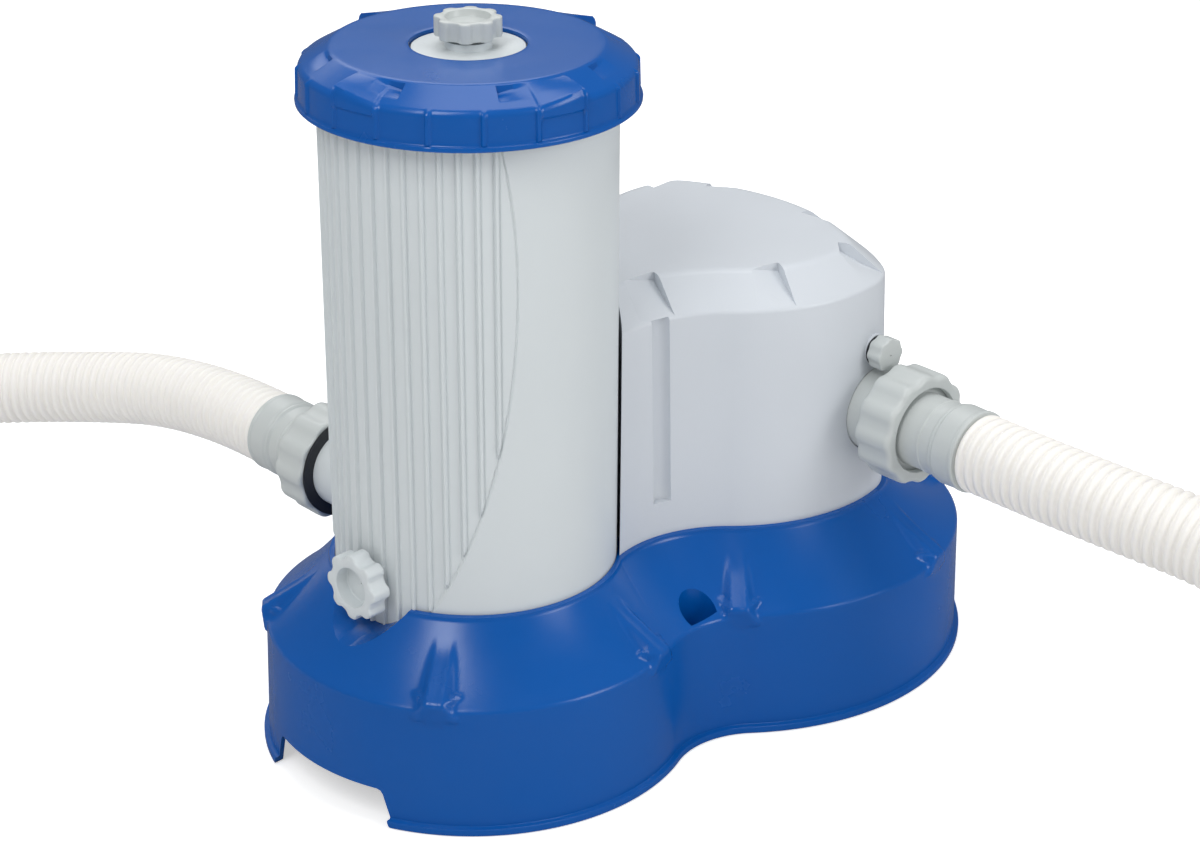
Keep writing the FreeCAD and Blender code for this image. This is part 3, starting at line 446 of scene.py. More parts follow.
# ---- hoses -------------------------------------------------------------------------------
INLET_ROUTE = [
    (-86, 193, 124), (-86, 277, 124), (-121, 386, 102), (-206, 470, 94), (-318, 500, 72),
    (-432, 468, 46), (-512, 388, 28), (-558, 278, 24), (-574, 158, 24), (-573, 36, 24),
    (-560, -86, 24), (-534, -202, 26), (-490, -312, 35),
]
OUTLET_ROUTE = [
    (139, -186, 172), (139, -266, 172), (160, -362, 163), (162, -472, 138), (114, -574, 104),
    (22, -628, 68), (-92, -640, 40), (-204, -606, 26), (-292, -534, 24), (-350, -434, 24),
    (-386, -318, 24), (-408, -214, 26), (-422, -124, 35),
]
HOSE_D = 0.0475
PITCH = 0.0065


def spline_line(name, route):
    """Points along a smooth spline whose control points are the route's corners."""
    curve = bpy.data.curves.new(name, "CURVE")
    curve.dimensions = "3D"
    curve.resolution_u = 40
    spline = curve.splines.new("NURBS")
    spline.points.add(len(route) - 1)
    for point, corner in zip(spline.points, route):
        point.co = (*(c * MM for c in corner), 1.0)
    spline.order_u = 3
    spline.use_endpoint_u = True
    holder = linked(name, curve)
    graph = bpy.context.evaluated_depsgraph_get()
    line = bpy.data.meshes.new_from_object(holder.evaluated_get(graph))
    points = np.array([v.co[:] for v in line.vertices])
    bpy.data.objects.remove(holder)
    bpy.data.meshes.remove(line)
    return points


def even_line(points, step):
    """The same line with points a constant step apart, and its length."""
    gaps = np.linalg.norm(np.diff(points, axis=0), axis=1)
    run = np.concatenate([[0], np.cumsum(gaps)])
    count = int(round(run[-1] / step))
    wanted = np.linspace(0, run[-1], count + 1)
    return np.stack([np.interp(wanted, run, points[:, i]) for i in range(3)], axis=1), run[-1]


def frames_along(line):
    """A pair of side directions that turn as little as possible along a line."""
    tangents = np.gradient(line, axis=0)
    tangents /= np.linalg.norm(tangents, axis=1)[:, None]
    sides = [np.cross(tangents[0], (0, 0, 1.0))]
    sides[0] /= np.linalg.norm(sides[0])
    for t in tangents[1:]:
        s = sides[-1] - t * np.dot(sides[-1], t)
        sides.append(s / np.linalg.norm(s))
    sides = np.array(sides)
    return sides, np.cross(tangents, sides)


# one rib: how far along the pitch, and how deep in millimetres below the hose's outside
RIB = [
    (0.0, -2.3), (0.1, -2.2), (0.2, -0.9), (0.32, -0.15),
    (0.5, 0.0), (0.68, -0.15), (0.8, -0.9), (0.9, -2.2),
]


def hose(name, route, cad):
    """A corrugated hose: rounded ribs with narrow grooves, swept along the route's spline."""
    smooth_line = spline_line(name, route)
    coarse, length = even_line(smooth_line, PITCH)
    ribs = len(coarse) - 1
    stations = [(i + s, depth) for i in range(ribs) for s, depth in RIB] + [(ribs, RIB[0][1])]
    fine = np.array([s for s, _ in stations])
    line = np.stack([np.interp(fine, np.arange(ribs + 1), coarse[:, i]) for i in range(3)], axis=1)
    side_way, up_way = frames_along(line)
    turn = np.array(angles(56))
    depth = np.array([x for _, x in stations]) * MM
    radius = HOSE_D / 2 + depth
    ring = np.cos(turn)[None, :, None] * side_way[:, None] + np.sin(turn)[None, :, None] * up_way[:, None]
    outside = line[:, None] + radius[:, None, None] * ring
    bore = (HOSE_D / 2 - 3.6 * MM) + depth * 0.6
    inside = line[:, None] + bore[:, None, None] * ring
    rows = list(outside) + list(inside[::-1])
    obj = mesh_object(name, *band(rows, wrap=True), "hose_white", "pump_unit", cad)
    smooth(obj, 60)


for prefix, route in (("inlet", INLET_ROUTE), ("outlet", OUTLET_ROUTE)):
    hose(f"{prefix}_hose_corrugated", route, f"{prefix}_hose")

# ---- outlines ----------------------------------------------------------------------------


def degrees_to(centre, point):
    """The direction from a centre to a point, in degrees."""
    return math.degrees(math.atan2(point[1] - centre[1], point[0] - centre[0]))


def meeting(one, one_r, two, two_r):
    """The point below the X axis at given distances from two points on that axis."""
    apart = two[0] - one[0]
    along = (one_r**2 - two_r**2 + apart**2) / (2 * apart)
    return one[0] + along, -math.sqrt(one_r**2 - along**2)


def sampled(arcs, counts):
    """Points (x, y) in metres along arcs (centre, radius, start, end) given in millimetres."""
    points = []
    for ((x, y), radius, start, end), count in zip(arcs, counts):
        for i in range(count):
            a = math.radians(start + (end - start) * i / count)
            points.append(((x + radius * math.cos(a)) * MM, (y + radius * math.sin(a)) * MM))
    return np.array(points)


def both_sides(lower, middle_arc):
    """The arcs below the X axis, the arc across it, and the first ones mirrored."""
    upper = [((x, -y), r, -end, -start) for (x, y), r, start, end in reversed(lower)]
    return lower + [middle_arc] + upper


# centres and radii of the outlines, and how many points each of their arcs takes
CAN = (FILTER_X / MM, 0.0)
PUMP_LOBE = (117.0, 0.0)
LOBE_R, PUMP_LOBE_R, WAIST_R = 123.4, 147.5, 57.0
COVER_SIDE, COVER_R = (115.0, 0.0), 106.0
COVER_END, COVER_END_R = (37.0, 0.0), 156.0
CORNER_R = 41.0
FLANK = (-6.5, -134.2)
COUNTS = (44, 90, 66, 120, 66, 90, 44, 330)


def skirt_outline(offset):
    """The base's figure-eight plan, pushed out by an offset."""
    waist = meeting(CAN, LOBE_R + WAIST_R, PUMP_LOBE, PUMP_LOBE_R + WAIST_R)
    near, far = degrees_to(PUMP_LOBE, waist), degrees_to(CAN, waist)
    lower = [
        (waist, WAIST_R - offset, degrees_to(waist, CAN), degrees_to(waist, PUMP_LOBE)),
        (PUMP_LOBE, PUMP_LOBE_R + offset, near, -74),
        (PUMP_LOBE, PUMP_LOBE_R + offset, -74, -36),
    ]
    arcs = both_sides(lower, (PUMP_LOBE, PUMP_LOBE_R + offset, -36, 36))
    arcs.append((CAN, LOBE_R + offset, -far, 360 + far))
    return sampled(arcs, COUNTS)


def cover_side_arcs(offset, start):
    """The cover's plan from one hollow flank round its end to the other."""
    corner = meeting(COVER_SIDE, COVER_R - CORNER_R, COVER_END, COVER_END_R - CORNER_R)
    flank_r = math.dist(FLANK, COVER_SIDE) - COVER_R
    corner_start, corner_end = degrees_to(COVER_SIDE, corner), degrees_to(COVER_END, corner)
    lower = [
        (FLANK, flank_r - offset, start, degrees_to(FLANK, COVER_SIDE)),
        (COVER_SIDE, COVER_R + offset, degrees_to(COVER_SIDE, FLANK), corner_start),
        (corner, CORNER_R + offset, corner_start, corner_end),
    ]
    return both_sides(lower, (COVER_END, COVER_END_R + offset, corner_end, -corner_end))


def ring_start(offset, ring):
    """Where the cover's hollow flank meets a circle round the canister, and that angle."""
    flank_r = math.dist(FLANK, COVER_SIDE) - COVER_R - offset
    apart = math.dist(FLANK, CAN)
    turn = math.acos((apart**2 + flank_r**2 - ring**2) / (2 * apart * flank_r))
    start = degrees_to(FLANK, CAN) - math.degrees(turn)
    a = math.radians(start)
    meet = (FLANK[0] + flank_r * math.cos(a), FLANK[1] + flank_r * math.sin(a))
    return start, degrees_to(CAN, (meet[0], -meet[1]))


def collar_outline(offset):
    """The step round the cover and the canister, where the sloping deck ends."""
    ring = (CAN_R + CAN_GAP) / MM + offset
    start, bend = ring_start(offset, ring)
    arcs = cover_side_arcs(offset, start) + [(CAN, ring, bend, 360 - bend)]
    return sampled(arcs, COUNTS)


def lifted(outline, z):
    """An outline's points at a height."""
    return np.column_stack([outline, np.full(len(outline), z)])


# ---- base --------------------------------------------------------------------------------
GUSSETS = [(CAN[0], LOBE_R, a) for a in (-72, -141, 141, 72)]
GUSSETS += [(PUMP_LOBE[0], PUMP_LOBE_R, a) for a in (-131, -73, -24, 24, 73, 131)]


def ridge_distance(points, start, end, side, edge=2.0 * MM, half=5.2 * MM):
    """Signed distance to a flat-topped ridge with two rounded crests and sloping sides."""
    axis = end - start
    length = np.linalg.norm(axis)
    axis = axis / length
    up = np.cross(axis, side)
    t, u, v = ((points - start) @ way for way in (axis, side, up))
    depth = np.clip(-v, 0, 11 * MM)
    hollow = 0.7 * MM * (1 - np.minimum(np.abs(u) / half, 1) ** 2)
    beyond = np.maximum(-t, t - length - 0.4 * depth)
    gaps = np.stack([np.abs(u) - half - 0.7 * depth, v + hollow, beyond, -v - 12 * MM]) + edge
    outside = np.linalg.norm(np.maximum(gaps, 0), axis=0)
    return outside + np.minimum(gaps.max(axis=0), 0) - edge


def soft_least(a, b, blend):
    """The lesser of two distances, with a fillet where they cross."""
    mix = np.clip(0.5 + 0.5 * (b - a) / blend, 0, 1)
    return b + (a - b) * mix - blend * mix * (1 - mix)


def gusset_line(x, radius, degrees):
    """The crest line of a gusset: down the deck, over the crease and onto the skirt."""
    a = math.radians(degrees)
    spots = [(radius - 41, 111.0), (radius + 3.4, 82.8), (radius + 0.6, 68.0)]
    return [np.array((x + r * math.cos(a), r * math.sin(a), z)) * MM for r, z in spots]


def gusset_distance(points, gusset):
    top, knee, foot = gusset_line(*gusset)
    turn = math.radians(gusset[2])
    side = np.array((-math.sin(turn), math.cos(turn), 0.0))
    return np.minimum(ridge_distance(points, top, knee, side), ridge_distance(points, knee, foot, side))


def raise_gussets(grid):
    """Pushes the surface out along its normals to the gussets, blended at their edges."""
    along = np.roll(grid, -1, axis=1) - np.roll(grid, 1, axis=1)
    across = np.gradient(grid, axis=0)
    normal = np.cross(along, across)
    normal /= np.linalg.norm(normal, axis=2)[..., None] + 1e-12
    points, normal = grid.reshape(-1, 3).copy(), normal.reshape(-1, 3)
    blend, most = 2.4 * MM, 14 * MM
    for gusset in GUSSETS:
        near = gusset_distance(points, gusset) < blend
        if not near.any():
            continue
        base, way = points[near], normal[near]
        low, high = np.zeros(len(base)), np.full(len(base), most)
        for _ in range(24):
            guess = (low + high) / 2
            bar = gusset_distance(base + way * guess[:, None], gusset)
            inside = soft_least(bar, guess, blend) < 0
            low, high = np.where(inside, guess, low), np.where(inside, high, guess)
        rise = np.where(low > 0.02 * MM, low, 0)
        points[near] = base + way * rise[:, None]
    return points.reshape(grid.shape)


SAG = 2.2 * MM
FLARE = 1.8
BASE_WALL = 3.0


def deck_row(share, sag=SAG, skirt=skirt_outline(0), collar=collar_outline(3)):
    """A ring on the sloping deck, from the crease (0) to the collar (1), slightly hollow."""
    rise = CREASE_Z + (DECK_Z - 1.4 * MM - CREASE_Z) * share - sag * 4 * share * (1 - share)
    return lifted(skirt * (1 - share) + collar * share, rise)


def skirt_row(z, offset=None):
    """A ring of the skirt, which flares to the floor unless an offset is given."""
    flare = FLARE * (1 - z / CREASE_Z) if offset is None else offset
    return lifted(skirt_outline(flare), z)


def base_outer():
    """The base's outside as a solid: foot lip, skirt, rounded crease, deck and collar step."""
    lip = [(0.0, 4.2), (0.5, 4.7), (1.2, 4.8), (3.4, 4.8), (4.1, 4.6), (4.5, 4.0), (4.6, 2.6)]
    rows = [skirt_row(z * MM, offset) for z, offset in lip]
    rows.append(skirt_row(5.2 * MM))
    rows += [skirt_row(z * MM) for z in np.arange(7, 52, 5)]
    rows += [skirt_row(z * MM) for z in np.arange(53, 75.4, 1.3)]
    start, end = skirt_row(75.2 * MM), deck_row(0.045)
    corner = deck_row(0.0)
    for t in np.linspace(0.15, 1, 6):
        rows.append(start * (1 - t) ** 2 + corner * 2 * t * (1 - t) + end * t**2)
    rows += [deck_row(t) for t in np.linspace(0.07, 0.985, 44)]
    grid = raise_gussets(np.array(rows))
    rows = list(grid)
    for share, drop in ((0.992, -0.9), (0.996, -0.2)):
        row = deck_row(share)
        row[:, 2] = DECK_Z + drop * MM
        rows.append(row)
    rows.append(lifted(collar_outline(2.5), DECK_Z))
    return tool(*band(rows, cap_start=True, cap_end=True))


def base_inner():
    """The hollow of the base as a solid."""
    feet = ((-1, FLARE), (5, 1.7), (74.5, 0))
    rows = [skirt_row(z * MM, flare - BASE_WALL) for z, flare in feet]
    skirt, collar = skirt_outline(-BASE_WALL), collar_outline(0.2)
    for t in np.linspace(0.05, 0.97, 12):
        row = deck_row(t, SAG, skirt, collar)
        row[:, 2] -= 3.4 * MM * (0.4 + 0.6 * min(1, t * 8))
        rows.append(row)
    rows.append(lifted(collar, DECK_Z - BASE_WALL * MM))
    return tool(*band(rows, cap_start=True, cap_end=True))


def notch_prism(low=49.0, high=43.0, height=22.0):
    """The trapezoid opening in the skirt's foot on the drain side, with rounded corners."""
    corners = [(-low - 2, -2), (low + 2, -2), (low, 1.5), (high + 0.6, height - 3)]
    corners += [(high - 0.8, height - 0.8), (high - 3, height)]
    corners += [(-y, z) for y, z in corners[:1:-1]]
    turn = Matrix.Translation(at(CAN[0], 0, 0)) @ Matrix.Rotation(DRAIN_ANGLE, 4, "Z")
    rows = [[turn @ at(x, y, z) for y, z in corners] for x in (90, 160)]
    return tool(*band(rows, cap_start=True, cap_end=True))


def upright(radius, x, y, low, high, count=64):
    """An upright round bar for a boolean, in millimetres."""
    return rod(radius * MM, at(x, y, low), UP, (high - low) * MM, count)


def pocket(y, radius=11.5, wall_y=103.2, low=66.0, high=130.0):
    """A fixing pocket: a round well with a flat side just inside the skirt."""
    sign = 1 if y > 0 else -1
    half = math.acos(min(1, (wall_y - abs(y)) / radius))
    turns = [half + (2 * math.pi - 2 * half) * i / 60 for i in range(61)]
    outline = [(radius * math.sin(a), y + sign * radius * math.cos(a)) for a in turns]
    rows = [[at(u, v, z) for u, v in outline] for z in (low, high)]
    return tool(*band(rows, cap_start=True, cap_end=True))


SCOOP_R, SCOOP_Z, SCOOP_LEAN = 35, 159.0, 0.28
PORT_HOLE_R = 26


def build_base():
    """The blue shell: the scoop by the drain, the inlet's hole, the wells and the skirt's notch."""
    scoop = at(CAN[0], 0, SCOOP_Z)
    scoop_way = (DRAIN_WAY - UP * SCOOP_LEAN).normalized()
    inlet = at(CAN[0], 0, INLET.z / MM)
    outer_cuts = [
        rod(SCOOP_R * MM, scoop, scoop_way, 140 * MM, 96),
        rod(PORT_HOLE_R * MM, inlet + BACK * 70 * MM, BACK, 60 * MM),
        upright((CAN_R + CAN_GAP) / MM, CAN[0], 0, 100, 130, 160),
        upright(66, CAN[0], 0, 88, 110, 120),
        upright(20, PUMP_X / MM, 0, 100, 130),
        notch_prism(),
    ]
    inner_cuts = [
        rod((SCOOP_R + 3) * MM, scoop, scoop_way, 132 * MM, 96),
        rod((PORT_HOLE_R + 3) * MM, inlet + BACK * 70 * MM, BACK, 48 * MM),
        upright(85.4, CAN[0], 0, 96, 130, 160),
    ]
    for y in (-FIXING_Y, FIXING_Y):
        outer_cuts.append(pocket(y))
        outer_cuts.append(upright(3, 0, y, -5, 130, 32))
        inner_cuts.append(upright(14.5, 0, y, 63, 130))
        inner_cuts.append(upright(8, 0, y, -5, 130))
    outer, inner = base_outer(), base_inner()
    boolean(outer, outer_cuts)
    boolean(inner, inner_cuts)
    boolean(outer, [inner])
    fixed_piece(outer, "base_shell_moulded", "base_blue", "base_shell", 30)


build_base()

# ---- filter canister ---------------------------------------------------------------------


def fine_angles(spans):
    """Angles in degrees: spans of (end, step), each starting where the last one ended."""
    result, here = [], spans[0]
    for end, step in spans[1:]:
        count = max(1, round((end - here) / step))
        result += [here + (end - here) * i / count for i in range(count)]
        here = end
    return np.array(result)


def bump_profile(distance, half_width, edge):
    """1 within half_width, falling smoothly to 0 over an edge."""
    t = np.clip((half_width + edge - np.abs(distance)) / edge, 0, 1)
    return t * t * (3 - 2 * t)


def groove_angle(z):
    """The curved groove that bounds the ribs: its angle from the drain side, by height."""
    heights = np.array((100, 116, 150, 190, 240, 290, 340, 391, 400)) * MM
    turn = np.array((20, 29, 41, 51, 60, 63.5, 62.5, 57, 55.5))
    spread = np.polyfit(heights, turn, 4)
    return np.polyval(spread, z)


RIBBED = 78
RIB_STEP = 7


def canister_wall():
    """The canister's outside as a grid: upright ribs between two curved grooves."""
    degrees = fine_angles([-180, (-RIBBED, 2.0), (RIBBED, 0.28), (180, 2.0)])
    low, high = 100 * MM, 390 * MM
    heights = np.concatenate([[low], np.linspace(low + 2 * MM, high, 150)])
    angle, z = np.meshgrid(degrees, heights)
    edge = groove_angle(z)
    radius = np.full(angle.shape, CAN_R)
    inside = np.clip((edge - np.abs(angle)) / 0.7, 0, 1)
    radius -= 0.5 * MM * inside
    for i in range(-8, 9):
        offset = (angle - RIB_STEP * i) * math.radians(1) * CAN_R
        radius += 1.7 * MM * bump_profile(offset, 0.75 * MM, 0.6 * MM) * inside
        radius -= 0.35 * MM * bump_profile(np.abs(offset) - 1.6 * MM, 0.1 * MM, 0.5 * MM) * inside
    line = (np.abs(angle) - edge) * math.radians(1) * CAN_R
    radius -= 0.9 * MM * bump_profile(line, 0.25 * MM, 0.5 * MM)
    turn = np.radians(angle) + DRAIN_ANGLE
    x, y = FILTER_X + radius * np.cos(turn), radius * np.sin(turn)
    grid = np.stack([x, y, z], axis=2)
    turn = np.radians(degrees) + DRAIN_ANGLE
    return list(grid), turn


def build_canister():
    """The canister in four pieces: its wall with the rim, the port, its flange and the drain's seat."""
    rows, turn = canister_wall()

    def ring(radius, z):
        x, y = FILTER_X + radius * MM * np.cos(turn), radius * MM * np.sin(turn)
        return lifted(np.column_stack([x, y]), z * MM)

    rim = [(82, 392), (84.5, 393.5), (88.2, 396), (88.5, 396.5), (88.5, 401.6), (88, 402)]
    hollow = [(79.3, 402), (79, 401.6), (79, 104.6), (78.4, 104), (15.5, 104), (15.5, 100)]
    rows += [ring(r, z) for r, z in rim + hollow]
    body = tool(*band(rows, wrap=True))
    spigot = [(15, -6), (24.5, -6), (24.5, 44.8), (30, 45.2), (30, 58.2), (29.6, 58.5), (15, 58.5)]
    tube = tool(*spun(rounded(spigot, 0.6), frame_along(BACK, (FILTER_X, CAN_R, INLET.z))))
    collar = [(24, -4), (31, -4), (31, 2.5), (29.5, 4.0), (24, 4.0)]
    flange = tool(*spun(collar, frame_along(BACK, (FILTER_X, CAN_R - 4 * MM, INLET.z))))
    boss = [(6.3, -2), (11.5, -2), (11.5, 0.4), (10.5, 1.2), (6.3, 1.2)]
    seat = tool(*spun(boss, frame_along(DRAIN_WAY, DRAIN_AXIS + DRAIN_WAY * CAN_R), 64))
    for part in (tube, flange):
        boolean(part, [upright(79, CAN[0], 0, 104, 402, 160)])
    drain_bore = rod(6.3 * MM, DRAIN_AXIS + DRAIN_WAY * 60 * MM, DRAIN_WAY, 40 * MM)
    port_bore = rod(15 * MM, (FILTER_X, 60 * MM, INLET.z), BACK, 60 * MM)
    boolean(body, [drain_bore, port_bore])
    parts = {"wall": body, "port": tube, "port_flange": flange, "drain_seat": seat}
    for name, part in parts.items():
        fixed_piece(part, f"filter_canister_{name}", "canister_grey", "filter_canister", 40)


build_canister()

# ---- motor cover -------------------------------------------------------------------------
COVER_COUNTS = (70, 110, 60, 110, 60, 110, 70)
# directions of the notches' sharp walls, about a point on the cover's axis
COVER_NOTCHES = (-146, -105, -61, -15.5, 43, 78, 118, 152)
NOTCH_CENTRE = 103.0
COVER_DRAFT = 4


def cover_ring(offset, z):
    """The cover's outline at a height, closed straight across behind the canister."""
    flank_r = math.dist(FLANK, COVER_SIDE) - COVER_R - offset
    start = 180 - math.degrees(math.acos((FLANK[0] + 36) / flank_r))
    points = sampled(cover_side_arcs(offset, start), COVER_COUNTS)
    first = points[0]
    points = np.vstack([points, [[first[0], -first[1]]]])
    return lifted(points, z * MM)


def eased(rows, index, size, steps=5):
    """Replaces a ring by a rounded corner between its two neighbours."""
    before, here, after = rows[index - 1], rows[index], rows[index + 1]
    result = []
    for way in (before, after):
        gap = way - here
        length = np.linalg.norm(gap, axis=1)[:, None]
        result.append(here + gap / length * np.minimum(size, 0.45 * length))
    start, end = result
    arc = [start * (1 - t) ** 2 + here * 2 * t * (1 - t) + end * t**2 for t in np.linspace(0, 1, steps)]
    return rows[:index] + arc + rows[index + 1:]


def cover_form(inset, foot=116.0, lower=0.0, narrow=0.0):
    """The cover as a solid: its outside, or its hollow, inset with a lower, narrower top."""
    rise = SHOULDER_Z / MM - lower - foot
    rows = [cover_ring(-inset - COVER_DRAFT * t, foot + rise * t) for t in (0, 0.004, 0.3, 0.6, 0.85, 1)]
    roof = COVER_TOP / MM - inset - narrow
    for step, drop in ((CHAMFER_WIDTH, 1.2), (27.5, 0), (31, 0)):
        rows.append(cover_ring(-inset - narrow - step, roof - drop))
    if inset == 0:
        rows = eased(rows, 7, 2 * MM, 3)
        rows = eased(rows, 6, 1.2 * MM, 4)
        rows = eased(rows, 5, 1.6 * MM, 6)
    return tool(*band(rows, cap_start=True, cap_end=True))


def shoulder_frame(degrees):
    """A frame on the shoulder's outline: X outwards, Z up, at a direction from the notch centre."""
    outline = cover_ring(-COVER_DRAFT, SHOULDER_Z / MM)
    offset = outline[:, :2] / MM - (NOTCH_CENTRE, 0)
    turn = np.degrees(np.arctan2(offset[:, 1], offset[:, 0]))
    index = int(np.argmin(np.abs((turn - degrees + 180) % 360 - 180)))
    along = outline[index + 2] - outline[index - 2]
    normal = math.atan2(-along[0], along[1])
    return Matrix.Translation(outline[index]) @ Matrix.Rotation(normal, 4, "Z")


def cover_notch(degrees, depth=6.5, ramp=23.0):
    """A wedge across the shoulder, ramping down to a sharp wall at the given direction."""
    slope = Vector((CHAMFER_WIDTH, 0, -CHAMFER_HEIGHT)).normalized()
    out = Vector((CHAMFER_HEIGHT, 0, CHAMFER_WIDTH)).normalized()
    start = Vector((-CHAMFER_WIDTH, 0, CHAMFER_HEIGHT + 0.5))
    turn = shoulder_frame(degrees)
    side_way = Vector((0, 1, 0))
    rows = []
    for travel, deep in ((-6, 0.0), (0.5, depth), (16, depth * 0.62), (30, 0.1)):
        here = start + slope * travel
        far = here - side_way * ramp
        corners = [here + out * 7, here - out * deep, far + out * 1.0, far + out * 7]
        rows.append([turn @ (c * MM) for c in corners])
    return tool(*band(rows, cap_start=True, cap_end=True))


def build_cover():
    """The motor cover: vent seat, outlet hole, shoulder notches and a groove on each flank."""
    outer = cover_form(0)
    inner = cover_form(3.5, 115.0, 9.0, 6.0)
    boss = rod(9.5 * MM, at(VENT_X, 0, VENT_Z) + FRONT * 92 * MM, FRONT, 10.5 * MM)
    boolean(outer, [boss], "UNION")
    outlet_axis = at(OUTLET_X, 0, OUTLET.z / MM)
    cuts = [upright(CAN_R / MM + 2, CAN[0], 0, 100, 300, 160)]
    cuts.append(rod(25 * MM, outlet_axis + FRONT * 60 * MM, FRONT, 70 * MM, 96))
    cuts += [cover_notch(a) for a in COVER_NOTCHES]
    inner_cuts = [upright(CAN_R / MM + 5.5, CAN[0], 0, 100, 300, 160)]
    for sign in (-1, 1):
        foot, head = at(6, 60.8 * sign, 137), at(6, 57.2 * sign, 252)
        lean = head - foot
        cuts.append(rod(6.2 * MM, foot, lean, lean.length, 48))
        inner_cuts.append(rod(10 * MM, foot - lean * 0.03, lean, lean.length * 1.1, 40))
    boolean(outer, cuts)
    boolean(inner, inner_cuts)
    boolean(outer, [inner])
    fixed_piece(outer, "motor_cover_moulded", "cover_grey", "motor_cover", 30)


build_cover()

# ---- lock ring ---------------------------------------------------------------------------
# each lug or notch: the angle of its sharp wall, and which way it ramps down
LUGS = ((-89, -1), (1, 1), (91, -1), (181, 1))
RING_NOTCHES = (
    (-119, 1), (-74, 1), (-29, 1), (16, 1), (-155, -1), (160, -1), (115, -1), (70, -1),
)
LUG_SPAN = 18
NOTCH_SPAN = 13


def near_angle(angle, centre):
    """How far an angle is from a centre, in degrees from -180 to 180."""
    return (angle - centre + 180) % 360 - 180


def ring_profile(low, top):
    """The lock ring's section: lip, skirt, cone, flat top, hole and inside."""
    profile = [(89.2, low), (93.9, low), (94.4, low + 0.5), (94.5, low + 1.6)]
    profile += [(94.2, low + 2.4), (93.0, low + 3.0)]
    profile += [(92.7 - 0.05 * k, low + 3.6 + 1.55 * k) for k in range(11)]
    profile += [(91.6, low + 20.3), (90.6, low + 21.5)]
    wide, narrow = np.array((90.6, low + 21.5)), np.array((76.0, top - 0.7))
    profile += [tuple(wide * (1 - t) + narrow * t) for t in np.linspace(0.08, 1, 16)]
    profile += [(75.0, top - 0.15), (73.5, top)]
    profile += [(r, top) for r in np.linspace(71.5, 35, 14)]
    profile += [(33, top), (32.3, top - 0.2), (32, top - 0.8), (32, top - 2.8), (33, top - 3)]
    profile += [(73, top - 3), (89.2, low + 17.5)]
    return np.array(profile)


def build_lock_ring():
    """The blue ring: upright ribs on its skirt, four raised lugs and eight notches in its cone."""
    low = bottom_of("lock_ring") / MM
    top = top_of("lock_ring") / MM
    profile = ring_profile(low, top)
    turn = np.arange(0, 360, 0.45)
    radius = np.repeat(profile[:, :1], len(turn), axis=1)
    height = np.repeat(profile[:, 1:], len(turn), axis=1)
    outside = np.zeros(len(profile), bool)
    # the section's points from the lip's top to just short of the cone's upper edge
    outside[5:34] = True
    angle = np.repeat(turn[None], len(profile), axis=0)
    on_band = np.clip((height - low - 2.8) / 0.8, 0, 1) * np.clip((low + 21.8 - height) / 2.0, 0, 1)
    on_band *= outside[:, None]
    rib = sum(bump_profile(near_angle(angle, 18 * i + 1), 0.55, 0.5) for i in range(20))
    radius += 1.25 * rib * on_band
    slope = np.clip((radius - 76) / 15, 0, 1)
    for wall, way in LUGS:
        gap = near_angle(angle, wall) * way
        reach = (gap >= 0) * np.clip((LUG_SPAN - gap) / LUG_SPAN, 0, 1) * outside[:, None]
        bay = (gap >= 0) * np.clip((LUG_SPAN - gap) / 0.9, 0, 1) * outside[:, None]
        upper = np.clip((height - low - 14.5) / 1.5, 0, 1)
        radius += 1.3 * bay * upper * np.clip(slope * 2, 0, 1)
        height += 5.2 * reach * np.clip((height - low - 16) / 5, 0, 1) * slope**0.8
    for wall, way in RING_NOTCHES:
        gap = near_angle(angle, wall) * way
        ramp = np.clip(1 - gap / NOTCH_SPAN, 0, 1) * (gap >= 0)
        where = np.clip((radius - 63) / 9, 0, 1) * np.clip((86 - radius) / 8, 0, 1)
        where *= outside[:, None]
        height -= 3.4 * ramp * where
    a = np.radians(angle)
    grid = np.stack([CAN[0] + radius * np.cos(a), radius * np.sin(a), height], axis=2) * MM
    skin = band(list(grid), wrap=True)
    smooth(mesh_object("lock_ring_moulded", *skin, "base_blue", "lock_ring", "lock_ring"), 38)


build_lock_ring()

# ---- knobs, plug and union nuts ----------------------------------------------------------


def lobes(turn, crest, valley, count, sharpness):
    """Radius of a lobed grip: rounded crests and hollows that share the turn evenly."""
    wave = np.tanh(sharpness * np.cos(count * turn)) / math.tanh(sharpness)
    return (crest + valley) / 2 + (crest - valley) / 2 * wave


def grip(name, levels, crest, valley, count, sharpness, matrix, slot, body, node, centre_rows=()):
    """A lobed grip from (inset, height) levels, then plain rings to close its faces."""
    turn = np.radians(np.arange(0, 360, 1.25))
    outline = lobes(turn, crest, valley, count, sharpness)
    rows = []
    for r, z in [(outline - inset, z) for inset, z in levels] + list(centre_rows):
        rows.append([matrix @ at(x, y, z) for x, y in zip(r * np.cos(turn), r * np.sin(turn))])
    smooth(mesh_object(name, *band(rows, wrap=True), slot, body, node), 40)


def knob_levels(thick, edge=0.9):
    """The rounded outside of a grip, as insets and heights from its back to its face."""
    levels = [(edge + 0.6, 0.0)]
    for k in range(4):
        a = math.radians(30 * k)
        levels.append((edge * (1 - math.sin(a)), edge * (1 - math.cos(a))))
    levels += [(0, thick * 0.35), (0, thick * 0.7)]
    for k in range(4):
        a = math.radians(30 * k)
        levels.append((edge * (1 - math.cos(a)), thick - edge * (1 - math.sin(a))))
    return levels


